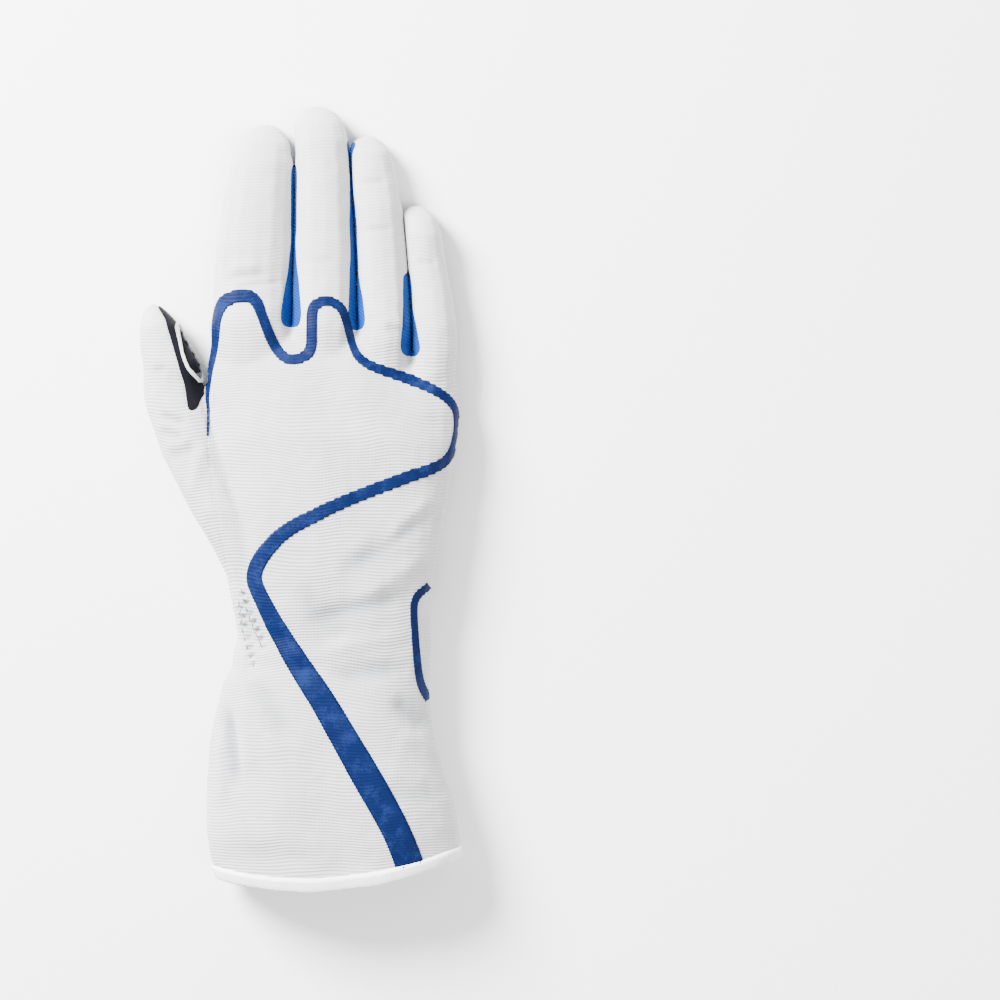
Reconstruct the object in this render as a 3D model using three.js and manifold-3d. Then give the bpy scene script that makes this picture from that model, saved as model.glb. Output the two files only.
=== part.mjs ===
import * as THREE from 'three';
import { LoftGeometry } from 'three/addons/geometries/LoftGeometry.js';
import { mergeVertices } from 'three/addons/utils/BufferGeometryUtils.js';
import Module from 'manifold-3d';

const wasm = await Module();
wasm.setup();

// A right-hand karting glove lying palm down. Millimetres, +Z up, +Y towards the fingertips,
// the thumb on the -X side. While it is modelled, y = 0 is the wrist line and x = 0 the middle of the hand.

// Lengths
const cuff_length = 96.8;
const palm_length = 128;
const index_length = 82;
const middle_length = 89.6;
const ring_length = 83.6;
const little_length = 60.8;
const thumb_length = 118.8;
const thumb_reach = 10;
const little_crotch_drop = 11.2;
const hem_skew = 4;
const hem_corner_rise = 8;

// Widths
const knuckle_width = 100;
const wrist_width = 78.4;
const cuff_width = 101;
const index_width = 32.8;
const middle_width = 25.2;
const ring_width = 20.4;
const finger_slit = 1.2;
const thumb_width = 24.8;

// Thicknesses
const hand_thickness = 30;
const cuff_thickness = 33;
const finger_thickness = 17.5;
const thumb_thickness = 18.5;
const cloth_wall = 1.4;
const tape_width = 6;
const tape_stand = 0.45;
const film_thickness = 0.4;
const grip_height = 0.6;
const seam_gap = 0.3;
const tape_gap = 0.5;
const wrist_lift = 2.2;

// Seams
const palm_hem_height = 19.2;
const palm_hem_slant = 8;
const cuff_seam_height = 8;
const side_seam_share = 0.42;
const side_seam_drop = 2.2;
const tip_seam_length = 13;
const fourchette_foot = 2.6;
const fourchette_depth = 7;
const crotch_width = 8;
const crotch_rise = 28;

// Gathers of the wrist elastic
const gather_depth = 0.9;
const elastic_depth = 1.3;

// Grips
const rim_width = 2.3;
const thumb_rim_width = 1.3;
const bar_width = 1.9;
const bar_pitch = 4.2;
const tip_grip_length = 30;
const tip_grip_width = 15.2;

// Number of points round each section
const body_points = 40;
const body_lining_points = 20;
const finger_points = 12;
const finger_lining_points = 8;

const knuckle_half = knuckle_width / 2;
const wrist_half = wrist_width / 2;
const cuff_half = cuff_width / 2;
const rest_height = grip_height + seam_gap;
const reach = 400;
const little_width = knuckle_width - index_width - middle_width - ring_width - 3 * finger_slit;

// Across the hand: -1 at its thumb side, 1 at its little-finger side.
const across = (share) => share * knuckle_half;

// Along the hand: 0 at the wrist, 1 at the finger roots, -1 at the hem.
const along = (share) => (share < 0 ? share * cuff_length : share * palm_length);

const blend = (from, to, share) => from + (to - from) * share;
const smooth = THREE.MathUtils.smoothstep;

// The outline of a soft section. Its widest level is a share up its height, and its underside is flatter.
class SoftSection extends THREE.Curve {
  constructor(half_width, below, above) {
    super();
    this.half_width = half_width;
    this.below = below;
    this.above = above;
    this.arcLengthDivisions = 240;
  }

  getPoint(turn, target = new THREE.Vector2()) {
    const c = Math.cos(turn * 2 * Math.PI);
    const s = Math.sin(turn * 2 * Math.PI);
    const roundness = s < 0 ? 3.4 : 2.3;
    const rise = s < 0 ? this.below : this.above;
    return target.set(
      this.half_width * Math.sign(c) * Math.abs(c) ** (2 / roundness),
      rise * Math.sign(s) * Math.abs(s) ** (2 / roundness),
    );
  }
}

// One ring of a loft. Inset is how far the ring lies inside the outer face of the cloth.
function ringOf({ y, left, right, height }, points, inset, shape = (point) => point) {
  const half = Math.max((right - left) / 2 - inset, 0.3);
  const below = Math.max(height * side_seam_share - inset, 0.2);
  const above = Math.max(height * (1 - side_seam_share) - inset, 0.2);
  const middle = (left + right) / 2;
  const level = rest_height + height * side_seam_share;
  const section = new SoftSection(half, below, above);
  return section
    .getSpacedPoints(points)
    .slice(0, points)
    .map((p, i) => shape(new THREE.Vector3(middle + p.x, y, level + p.y), p.x / half, p.y, i))
    .reverse();
}

// A closed solid from a geometry, and a geometry from a solid.
function solidOf(geometry) {
  const bare = new THREE.BufferGeometry();
  bare.setAttribute('position', geometry.getAttribute('position'));
  bare.setIndex(geometry.getIndex());
  const merged = mergeVertices(bare, 1e-4);
  const mesh = new wasm.Mesh({
    numProp: 3,
    vertProperties: new Float32Array(merged.attributes.position.array),
    triVerts: new Uint32Array(merged.index.array),
  });
  return new wasm.Manifold(mesh);
}

function geometryOf(solid) {
  const mesh = solid.getMesh();
  const geometry = new THREE.BufferGeometry();
  geometry.setAttribute('position', new THREE.BufferAttribute(new Float32Array(mesh.vertProperties), 3));
  geometry.setIndex(new THREE.BufferAttribute(new Uint32Array(mesh.triVerts), 1));
  geometry.computeVertexNormals();
  return geometry;
}

// A lining follows every second section, with the first and last.
const thinned = (rows) => rows.filter((row, i) => i % 2 === 0 || i === rows.length - 1);

const loft = (rings) => solidOf(new LoftGeometry(rings, { capStart: true, capEnd: true }));
const joined = (solids) => solids.reduce((whole, piece) => whole.add(piece));

// The largest body of a cut, without the crumbs that a seam can leave.
function mainBody(solid) {
  return solid.decompose().reduce((best, part) => (part.volume() > best.volume() ? part : best));
}

// A prism that stands on an outline in plan, and one that runs across from an outline in side view.
function planPrism(outline, bottom = -reach, top = reach) {
  const geometry = new THREE.ExtrudeGeometry(new THREE.Shape(outline), {
    depth: top - bottom,
    bevelEnabled: false,
  });
  return solidOf(geometry.translate(0, 0, bottom));
}

function sidePrism(outline) {
  const geometry = new THREE.ExtrudeGeometry(new THREE.Shape(outline), {
    depth: 2 * reach,
    bevelEnabled: false,
  });
  const turn = new THREE.Matrix4().makeBasis(
    new THREE.Vector3(0, 1, 0),
    new THREE.Vector3(0, 0, 1),
    new THREE.Vector3(1, 0, 0),
  );
  return solidOf(geometry.translate(0, 0, -reach).applyMatrix4(turn));
}

const xy = (x, y) => new THREE.Vector2(x, y);

// Sections of the cuff. Along: 0 at the wrist, 1 at the hem. Left, right and height: 0 as at the wrist,
// 1 the full width or thickness of the cuff.
const cuff_sections = [
  { along: 1.0, left: 0.62, right: 1.02, height: 1.0 },
  { along: 0.93, left: 0.8, right: 1.04, height: 1.0 },
  { along: 0.8, left: 0.98, right: 1.0, height: 0.98 },
  { along: 0.65, left: 1.0, right: 0.8, height: 0.9 },
  { along: 0.52, left: 0.98, right: 0.52, height: 0.78 },
  { along: 0.4, left: 0.91, right: 0.16, height: 0.6 },
  { along: 0.28, left: 0.73, right: 0.02, height: 0.42 },
  { along: 0.14, left: 0.42, right: -0.05, height: 0.14 },
  { along: 0.08, left: 0.1, right: 0.0, height: 0.0 },
  { along: 0.025, left: 0.06, right: 0.04, height: 0.06 },
];

// Sections of the hand. Along: 0 at the wrist, 1 at the finger roots. Left and right: 0 as at the wrist,
// 1 as at the knuckles. Height: a share of the thickness of the hand.
const hand_sections = [
  { along: 0.03, left: -0.06, right: 0.02, height: 0.9 },
  { along: 0.075, left: 0.02, right: 0.0, height: 0.93 },
  { along: 0.13, left: 0.12, right: -0.02, height: 0.96 },
  { along: 0.31, left: 0.46, right: 0.37, height: 1.0 },
  { along: 0.42, left: 0.62, right: 0.59, height: 0.99 },
  { along: 0.66, left: 0.98, right: 1.01, height: 0.91 },
  { along: 0.78, left: 1.08, right: 1.12, height: 0.83 },
  { along: 0.87, left: 1.07, right: 1.08, height: 0.72 },
  { along: 0.94, left: 1.0, right: 0.98, height: 0.56 },
  { along: 0.985, left: 0.8, right: 0.8, height: 0.36 },
  { along: 1.0, left: 0.3, right: 0.4, height: 0.16 },
];

// Long soft folds and dents in the back, from one place to another: across and along the glove,
// width across the fold and depth as shares of the thickness of the hand, below zero where it stands up.
const folds = [
  { across: -1.0, along: 0.18, to_across: -0.72, to_along: 0.02, width: 0.16, depth: 0.06 },
  { across: -0.78, along: 0.12, to_across: -0.6, to_along: -0.1, width: 0.14, depth: 0.05 },
  { across: -0.9, along: -0.28, to_across: -0.74, to_along: -0.6, width: 0.3, depth: 0.05 },
  { across: 0.3, along: 0.42, to_across: 0.95, to_along: 0.3, width: 0.3, depth: 0.04 },
  { across: 0.1, along: 0.26, to_across: 0.8, to_along: 0.12, width: 0.28, depth: 0.04 },
  { across: 0.35, along: -0.2, to_across: 0.7, to_along: -0.75, width: 0.34, depth: -0.04 },
  { across: -0.35, along: 0.7, to_across: 0.0, to_along: 0.56, width: 0.3, depth: -0.03 },
  { across: -0.1, along: -0.5, to_across: 0.15, to_along: -0.95, width: 0.3, depth: 0.04 },
];

function foldDepth(x, y) {
  const place = xy(x, y);
  return folds.reduce((sum, fold) => {
    const from = xy(across(fold.across), along(fold.along));
    const to = xy(across(fold.to_across), along(fold.to_along));
    const run = to.clone().sub(from);
    const share = THREE.MathUtils.clamp(place.clone().sub(from).dot(run) / run.lengthSq(), 0, 1);
    const away = place.distanceTo(from.addScaledVector(run, share));
    return sum + fold.depth * hand_thickness * Math.exp(-((away / (fold.width * hand_thickness)) ** 2));
  }, 0);
}

// The elastic draws the cloth in along two rows under the wrist and pleats it between them.
const elastic_rows = [
  { along: 0.025, pull: 1 },
  { along: -0.085, pull: 1 },
];

function elasticPull(y) {
  return elastic_rows.reduce((most, row) => {
    const away = (y - along(row.along)) / (palm_length * 0.028);
    return Math.max(most, row.pull * Math.exp(-(away ** 2)));
  }, 0);
}

// How far the hem and the finger roots run out of square.
const hemShift = (side) => hem_skew * side + hem_corner_rise * side ** 2;
const rootShift = (x) => -little_crotch_drop * smooth(x, across(0.2), across(0.6));

function bodyRow(row, is_cuff) {
  const wrist_height = 0.9 * hand_thickness;
  const far = is_cuff ? cuff_half : knuckle_half;
  return {
    y: is_cuff ? -row.along * cuff_length : row.along * palm_length,
    left: -blend(wrist_half, far, row.left),
    right: blend(wrist_half, far, row.right),
    height: is_cuff ? blend(wrist_height, cuff_thickness, row.height) : row.height * hand_thickness,
  };
}

const body_rows = [
  ...cuff_sections.map((row) => bodyRow(row, true)),
  ...hand_sections.map((row) => bodyRow(row, false)),
];

// Moves a point of the body from its plain section to its place in the cloth.
function bodyShape(is_lining) {
  return (point, side, level, index) => {
    const { x, y } = point;
    const hem_weight = smooth(-y, cuff_length * 0.55, cuff_length);
    const root_weight = smooth(y, palm_length * 0.55, palm_length);
    const pull = elasticPull(y);
    const at_wrist = Math.exp(-((y / (palm_length * 0.2)) ** 2));
    const under = level < 0 ? 1 : 0;
    const pleat = is_lining ? 0 : gather_depth * (index % 2 ? -1 : 1) * at_wrist * (1 - 0.5 * pull);
    const drawn = is_lining ? elastic_depth : elastic_depth * pull;
    point.z += under * (wrist_lift * at_wrist + drawn * at_wrist + pleat * (1 - side ** 4));
    point.z -= (1 - under) * foldDepth(x, y) * (is_lining ? smooth(level, 0, 4) : 1);
    point.y += hem_weight * hemShift(side) + root_weight * rootShift(x);
    return point;
  };
}

// The row of the body at any place near the hem.
function hemRow(y) {
  const [last, before] = body_rows;
  const share = (y - last.y) / (before.y - last.y);
  return {
    y,
    left: blend(last.left, before.left, share),
    right: blend(last.right, before.right, share),
    height: blend(last.height, before.height, share),
  };
}

const hem_y = -cuff_length;
const tape_edge = hem_y + tape_width;
const past_end = 3 * tape_width;

// An open end has a lip, the same ring drawn in and a hair past it, so that its face runs straight across.
const lip_rise = 0.05;
const lip_share = 0.7;
function lipOf(ring, outwards) {
  const centre = ring.reduce((sum, point) => sum.add(point), new THREE.Vector3()).divideScalar(ring.length);
  return ring.map(
    (point) =>
      new THREE.Vector3(
        blend(centre.x, point.x, lip_share),
        point.y + outwards * lip_rise,
        blend(centre.z, point.z, lip_share),
      ),
  );
}

function bodyLoft(points, inset, is_lining) {
  const kept = (palm_length - inset) / palm_length;
  const shortened = (row) => ({ ...row, y: row.y > 0 ? row.y * kept : row.y });
  const ring = (row) => ringOf(shortened(row), points, inset, bodyShape(is_lining));
  if (is_lining) {
    const hem = hemRow(hem_y);
    return loft([{ ...hem, y: hem_y - past_end }, ...thinned([hem, ...body_rows.slice(1)])].map(ring));
  }
  const rings = [hemRow(tape_edge + tape_gap), ...body_rows.slice(1)].map(ring);
  return loft([lipOf(rings[0], -1), ...rings]);
}

// The hem tape is folded over the edge of the cuff and stands a little proud of it on both faces.
function hemTape() {
  const ring = (y, inset) => ringOf(hemRow(y), body_points, inset, bodyShape(false));
  const fold = 0.4 * (cloth_wall + 2 * tape_stand);
  const profile = [
    ring(tape_edge, -tape_stand),
    ring(hem_y + fold, -tape_stand),
    ring(hem_y, cloth_wall / 2),
    ring(hem_y + fold, cloth_wall + tape_stand),
    ring(tape_edge, cloth_wall + tape_stand),
  ];
  const sections = profile[0].map((point, i) => profile.map((edge) => edge[i]));
  return solidOf(new LoftGeometry([...sections, sections[0]]));
}

// Sections of the fingers. Along: 0 at the tip, 1 at the root. Width and shift: shares of the finger's
// width at its root. Height: a share of the finger's thickness, with the creases of its joints.
const index_sections = [
  { along: 0.0, width: 0.2, shift: 0.2, height: 0.26 },
  { along: 0.03, width: 0.44, shift: 0.2, height: 0.52 },
  { along: 0.09, width: 0.66, shift: 0.18, height: 0.76 },
  { along: 0.19, width: 0.78, shift: 0.15, height: 0.92 },
  { along: 0.32, width: 0.83, shift: 0.11, height: 0.98 },
  { along: 0.6, width: 0.91, shift: 0.05, height: 1.02 },
  { along: 0.75, width: 0.94, shift: 0.025, height: 0.96 },
  { along: 1.0, width: 1.0, shift: 0.0, height: 1.08 },
  { along: 1.3, width: 0.86, shift: 0.06, height: 1.02 },
];

const middle_sections = [
  { along: 0.0, width: 0.24, shift: -0.12, height: 0.26 },
  { along: 0.03, width: 0.58, shift: -0.11, height: 0.54 },
  { along: 0.08, width: 0.82, shift: -0.1, height: 0.78 },
  { along: 0.16, width: 0.88, shift: -0.06, height: 0.93 },
  { along: 0.3, width: 0.86, shift: -0.02, height: 0.98 },
  { along: 0.6, width: 0.9, shift: 0.0, height: 1.02 },
  { along: 0.76, width: 0.94, shift: 0.0, height: 0.98 },
  { along: 1.0, width: 1.0, shift: 0.0, height: 1.12 },
  { along: 1.3, width: 0.92, shift: 0.0, height: 1.05 },
];

const ring_sections = [
  { along: 0.0, width: 0.24, shift: -0.33, height: 0.26 },
  { along: 0.03, width: 0.6, shift: -0.32, height: 0.52 },
  { along: 0.08, width: 0.8, shift: -0.27, height: 0.76 },
  { along: 0.24, width: 0.94, shift: -0.17, height: 0.88 },
  { along: 0.34, width: 0.94, shift: -0.13, height: 0.98 },
  { along: 0.47, width: 0.93, shift: -0.08, height: 0.92 },
  { along: 0.8, width: 0.98, shift: 0.0, height: 1.0 },
  { along: 1.0, width: 1.0, shift: 0.0, height: 1.08 },
  { along: 1.3, width: 0.9, shift: 0.0, height: 1.02 },
];

const little_sections = [
  { along: 0.0, width: 0.24, shift: -0.42, height: 0.26 },
  { along: 0.04, width: 0.56, shift: -0.4, height: 0.5 },
  { along: 0.1, width: 0.74, shift: -0.32, height: 0.74 },
  { along: 0.2, width: 0.8, shift: -0.25, height: 0.9 },
  { along: 0.34, width: 0.82, shift: -0.19, height: 0.86 },
  { along: 0.64, width: 0.94, shift: -0.05, height: 0.92 },
  { along: 0.82, width: 0.99, shift: 0.0, height: 0.98 },
  { along: 1.0, width: 1.0, shift: 0.0, height: 1.04 },
  { along: 1.35, width: 0.9, shift: -0.05, height: 1.0 },
];

// The fingers stand side by side across the knuckles, a slit apart.
const index_middle = -knuckle_half + index_width / 2;
const middle_middle = index_middle + (index_width + middle_width) / 2 + finger_slit;
const ring_middle = middle_middle + (middle_width + ring_width) / 2 + finger_slit;
const little_middle = ring_middle + (ring_width + little_width) / 2 + finger_slit;

const finger_rows = [
  { name: 'index', x: index_middle, width: index_width, length: index_length, drop: 0 },
  { name: 'middle', x: middle_middle, width: middle_width, length: middle_length, drop: 0 },
  { name: 'ring', x: ring_middle, width: ring_width, length: ring_length, drop: 0.54 },
  { name: 'little', x: little_middle, width: little_width, length: little_length, drop: 1 },
];
const finger_sections = [index_sections, middle_sections, ring_sections, little_sections];
const fingers = finger_rows.map((row, i) => ({
  ...row,
  sections: finger_sections[i],
  root: palm_length - row.drop * little_crotch_drop,
}));

const fingerTipX = (finger) => finger.x + finger.sections[1].shift * finger.width;

function fingerLoft(finger, points, inset, is_lining) {
  const shown = finger.length - inset;
  const rows = is_lining ? thinned(finger.sections) : finger.sections;
  const rings = rows.map((row) => {
    const middle = finger.x + row.shift * finger.width;
    const half = (row.width * finger.width) / 2;
    return ringOf(
      {
        y: finger.root + (1 - row.along) * shown,
        left: middle - half,
        right: middle + half,
        height: row.height * finger_thickness,
      },
      points,
      inset,
    );
  });
  return loft(rings.reverse());
}

// Sections of the thumb. Along: 0 at the tip, 1 where it has run out into the wrist. Left and right: places
// from the side of the hand, as shares of the thumb's width. Height: a share of the thumb's thickness.
const thumb_sections = [
  { along: 0.0, left: -0.94, right: -0.78, height: 0.28 },
  { along: 0.03, left: -1.04, right: -0.62, height: 0.56 },
  { along: 0.075, left: -1.08, right: -0.43, height: 0.8 },
  { along: 0.2, left: -1.03, right: -0.1, height: 0.98 },
  { along: 0.27, left: -1.02, right: -0.05, height: 0.95 },
  { along: 0.32, left: -1.01, right: 0.0, height: 1.0 },
  { along: 0.375, left: -0.94, right: 0.16, height: 1.05 },
  { along: 0.52, left: -0.69, right: 0.46, height: 1.22 },
  { along: 0.7, left: -0.24, right: 0.84, height: 1.38 },
  { along: 0.82, left: 0.1, right: 1.06, height: 1.36 },
  { along: 0.95, left: 0.42, right: 1.26, height: 1.28 },
];

const thumb_side = -knuckle_half - 1;
const thumb_tip = palm_length + thumb_reach;

function thumbLoft(points, inset, is_lining) {
  const rows = is_lining ? thinned(thumb_sections) : thumb_sections;
  const rings = rows.map((row) =>
    ringOf(
      {
        y: thumb_tip - inset - row.along * (thumb_length - inset),
        left: thumb_side + row.left * thumb_width,
        right: thumb_side + row.right * thumb_width,
        height: row.height * thumb_thickness,
      },
      points,
      inset,
    ),
  );
  return loft(rings.reverse());
}

// The whole glove as one outer form, any distance inside or outside the face of the cloth.
function gloveForm(inset, is_lining) {
  const points = is_lining ? finger_lining_points : finger_points;
  return joined([
    bodyLoft(is_lining ? body_lining_points : body_points, inset, is_lining),
    ...fingers.map((finger) => fingerLoft(finger, points, inset, is_lining)),
    thumbLoft(points + 2, inset, is_lining),
  ]);
}

// The middle of the slit between two fingers, at their roots.
const slitMiddle = (a) => a.x + (a.width + finger_slit) / 2;

// Between the ends of two fingers.
const betweenTips = (a, b) => (fingerTipX(a) + 0.45 * a.width + fingerTipX(b) - 0.45 * b.width) / 2;

// How high the side seam runs at the end of a finger. Back: share of tip_seam_length from the end.
const tip_seam = [
  { back: 1.0, height: 0.42 },
  { back: 0.5, height: 0.36 },
  { back: 0.2, height: 0.26 },
  { back: 0.0, height: 0.13 },
];

// The cloth over the end of each finger, above its side seam.
function overTips(grow) {
  const caps = fingers.map((finger, i) => {
    const end = finger.root + finger.length;
    const left = i > 0 ? betweenTips(fingers[i - 1], finger) : -reach;
    const right = i < fingers.length - 1 ? betweenTips(finger, fingers[i + 1]) : reach;
    const above = sidePrism([
      ...tip_seam.map((row) => {
        const height = rest_height + row.height * finger_thickness - 0.5 * side_seam_drop;
        return xy(end - row.back * tip_seam_length, height + grow);
      }),
      xy(reach, rest_height + tip_seam.at(-1).height * finger_thickness - 0.5 * side_seam_drop + grow),
      xy(reach, reach),
      xy(end - tip_seam_length, reach),
    ]);
    const beside = planPrism([xy(left, 0), xy(right, 0), xy(right, reach), xy(left, reach)]);
    return above.intersect(beside);
  });
  return joined(caps);
}

// Seams. The side seam runs a little under the widest level, climbs with the hand and falls at the tips.
function belowSeam(grow) {
  const finger_level = rest_height + side_seam_share * finger_thickness - side_seam_drop + grow;
  const hand_level = rest_height + side_seam_share * hand_thickness - 2 * side_seam_drop + grow;
  return sidePrism([
    xy(-reach, -reach),
    xy(reach, -reach),
    xy(reach, finger_level),
    xy(along(0.95), finger_level),
    xy(along(0.6), hand_level),
    xy(-reach, hand_level),
  ]).subtract(overTips(grow));
}

// The seam between the white thumb side and the palm, from the thumb's tip down to the hem of the palm.
const palm_seam = [
  { across: -1.34, along: 1.2 },
  { across: -1.3, along: 1.07 },
  { across: -1.25, along: 0.98 },
  { across: -1.19, along: 0.88 },
  { across: -1.15, along: 0.82 },
  { across: -1.1, along: 0.74 },
  { across: -1.02, along: 0.66 },
  { across: -0.92, along: 0.6 },
  { across: -0.74, along: 0.46 },
  { across: -0.57, along: 0.31 },
];

function palmOutline(grow) {
  const seam = palm_seam.map((row) => xy(across(row.across) - grow, along(row.along)));
  const hem_left = xy(across(-0.4) - grow, palm_hem_height - palm_hem_slant - grow);
  const hem_middle = xy(across(0.0), palm_hem_height - 0.12 * palm_hem_slant - grow);
  return [
    xy(across(-1.34) - grow, reach),
    ...seam,
    hem_left,
    hem_middle,
    xy(reach, palm_hem_height - grow),
    xy(reach, reach),
  ];
}

// The inner side of the thumb is the palm's cloth too, up to a seam on the back of the thumb, and ends in
// a point.
function thumbInside(grow) {
  const gap = thumb_side + 0.15;
  return planPrism([
    xy(across(-1.42) - grow, reach),
    xy(across(-1.42) - grow, thumb_tip),
    xy(across(-1.34) - grow, along(1.03)),
    xy(across(-1.25) - grow, along(0.915)),
    xy(across(-1.18) - grow, along(0.82)),
    xy(across(-1.145) - grow, along(0.735) - grow),
    xy(across(-1.08) + grow, along(0.75) - grow),
    xy(across(-1.045) + grow, along(0.79) - grow),
    xy(gap + grow, along(0.838) - grow),
    xy(gap + grow, reach),
  ]);
}

const palmRegion = (grow) =>
  belowSeam(grow)
    .intersect(planPrism(palmOutline(grow)))
    .add(thumbInside(grow));

function cuffRegion(grow) {
  const all_round = planPrism([
    xy(-reach, -reach),
    xy(reach, -reach),
    xy(reach, cuff_seam_height + grow),
    xy(-reach, cuff_seam_height + grow),
  ]);
  const underside = planPrism([
    xy(across(-0.4) - grow, -reach),
    xy(reach, -reach),
    xy(reach, palm_hem_height + grow),
    xy(across(-0.4) - grow, palm_hem_height + grow),
  ]);
  return all_round.add(underside.intersect(belowSeam(grow)));
}

// The blue strip that shows in a slit from the back, a long drop. Rise: share of its height above the
// crotch, or of crotch_rise up to 1. Half: share of its widest place.
const crotch_rows = [
  { rise: 0.03, half: 0.5 },
  { rise: 0.09, half: 0.86 },
  { rise: 0.18, half: 1.0 },
  { rise: 0.32, half: 0.88 },
  { rise: 0.55, half: 0.7 },
  { rise: 1.0, half: 0.44 },
  { rise: 1.5, half: 0.33 },
];

// The crotches. Drop: share of little_crotch_drop. End: where the strip runs out, in rises. Lean: how far
// its end leans to the little finger, as a share of the little finger's width.
const crotches = [
  { drop: 0.04, wide: 1.0, tall: 1.0, end: 2.4, lean: 0.06 },
  { drop: 0.12, wide: 0.8, tall: 1.0, end: 2.75, lean: -0.18 },
  { drop: 1.02, wide: 0.95, tall: 0.7, end: 3.1, lean: -0.2 },
];

function crotchOutline(a, crotch, grow) {
  const foot = palm_length - crotch.drop * little_crotch_drop;
  const tall = crotch.tall * crotch_rise;
  const half = (crotch.wide * crotch_width) / 2;
  const middle = (rise) => slitMiddle(a) + (crotch.lean * little_width * rise) / crotch.end;
  const rows = [...crotch_rows, { rise: crotch.end, half: 0.1 }];
  const edge = (side) => rows.map((row) => {
    const y = foot + row.rise * tall + (row.rise < 0.1 ? -grow : 0);
    return xy(middle(row.rise) + side * (row.half * half + grow), y);
  });
  return [...edge(1), ...edge(-1).reverse()];
}

// A fourchette fills the facing sides of two fingers, and shows on the back as its crotch's drop.
function fourchetteRegion(a, b, grow) {
  const foot = Math.min(a.root, b.root) - fourchette_depth;
  const tip = Math.max(a.root + a.length, b.root + b.length) + reach;
  const sideways = planPrism([
    xy(a.x - grow, foot - grow),
    xy(b.x + grow, foot - grow),
    xy(b.x + grow, b.root),
    xy(fingerTipX(b) + grow, b.root + b.length),
    xy(fingerTipX(b) + grow, tip),
    xy(fingerTipX(a) - grow, tip),
    xy(fingerTipX(a) - grow, a.root + a.length),
    xy(a.x - grow, a.root),
  ]);
  const above_foot = sidePrism([
    xy(-reach, fourchette_foot - grow),
    xy(reach, fourchette_foot - grow),
    xy(reach, reach),
    xy(-reach, reach),
  ]);
  const crotch = crotches[fingers.indexOf(a)];
  const drop = planPrism(crotchOutline(a, crotch, grow));
  return sideways.intersect(belowSeam(grow)).add(drop).intersect(above_foot);
}

// The seam between the thumb's cloth and the back of the hand.
const gusset_seam = [
  { across: -1.005, along: 0.8 },
  { across: -1.0, along: 0.65 },
  { across: -0.96, along: 0.53 },
  { across: -0.9, along: 0.38 },
  { across: -0.82, along: 0.2 },
  { across: -0.76, along: 0.0 },
];

const thumbRegion = (grow) =>
  planPrism([
    xy(-reach, reach),
    xy(-reach, -reach),
    ...gusset_seam.map((row) => xy(across(row.across) + grow, along(row.along))).reverse(),
    xy(across(-1.005) + grow, reach),
  ]).add(belowSeam(grow));

// The back stripe, from the thumb side round the knuckles, across the hand and down to the hem.
// Width is a share of the hem end's width.
const stripe_end_width = 11.2;
const stripe_route = [
  { across: -0.996, along: 0.65, width: 0.11 },
  { across: -1.0, along: 0.79, width: 0.18 },
  { across: -0.956, along: 0.93, width: 0.3 },
  { across: -0.9, along: 1.07, width: 0.4 },
  { across: -0.83, along: 1.093, width: 0.44 },
  { across: -0.6, along: 1.073, width: 0.44 },
  { across: -0.53, along: 1.01, width: 0.37 },
  { across: -0.455, along: 0.938, width: 0.37 },
  { across: -0.316, along: 0.9, width: 0.38 },
  { across: -0.176, along: 0.944, width: 0.4 },
  { across: -0.164, along: 1.01, width: 0.38 },
  { across: -0.14, along: 1.065, width: 0.38 },
  { across: 0.036, along: 1.07, width: 0.36 },
  { across: 0.1, along: 1.03, width: 0.31 },
  { across: 0.146, along: 0.962, width: 0.28 },
  { across: 0.215, along: 0.904, width: 0.3 },
  { across: 0.41, along: 0.867, width: 0.35 },
  { across: 0.69, along: 0.828, width: 0.37 },
  { across: 0.9, along: 0.785, width: 0.34 },
  { across: 1.0, along: 0.697, width: 0.27 },
  { across: 0.9, along: 0.578, width: 0.36 },
  { across: 0.78, along: 0.556, width: 0.4 },
  { across: 0.46, along: 0.516, width: 0.43 },
  { across: -0.17, along: 0.407, width: 0.48 },
  { across: -0.38, along: 0.362, width: 0.51 },
  { across: -0.515, along: 0.307, width: 0.54 },
  { across: -0.602, along: 0.244, width: 0.56 },
  { across: -0.588, along: 0.181, width: 0.56 },
  { across: -0.468, along: 0.081, width: 0.68 },
  { across: -0.24, along: -0.079, width: 0.84 },
  { across: 0.38, along: -0.616, width: 1.0 },
  { across: 0.6, along: -0.9, width: 1.0 },
];

function ribbonOutline(route, width_of) {
  const centre = route.map((row) => xy(across(row.across), along(row.along)));
  const sides = centre.map((place, i) => {
    const before = centre[Math.max(i - 1, 0)];
    const after = centre[Math.min(i + 1, centre.length - 1)];
    const run = after.clone().sub(before).normalize();
    return xy(-run.y, run.x).multiplyScalar(width_of(route[i]) / 2);
  });
  return [
    ...centre.map((place, i) => place.clone().add(sides[i])),
    ...centre.map((place, i) => place.clone().sub(sides[i])).reverse(),
  ];
}

// The edge of the small patch on the little-finger side of the wrist.
const patch_edge_width = 2.8;
const patch_route = [
  { across: 0.86, along: 0.205 },
  { across: 0.68, along: 0.172 },
  { across: 0.65, along: 0.14 },
  { across: 0.668, along: 0.0 },
  { across: 0.69, along: -0.13 },
  { across: 0.735, along: -0.185 },
  { across: 0.86, along: -0.235 },
];

// Grip outlines on the palm side, closed and smooth.
function closedOutline(places, points) {
  const curve = new THREE.CatmullRomCurve3(
    places.map((row) => new THREE.Vector3(acrossOf(row), along(row.along), 0)),
    true,
    'catmullrom',
    0.45,
  );
  return curve
    .getSpacedPoints(points)
    .slice(0, points)
    .map((p) => xy(p.x, p.y));
}

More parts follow.
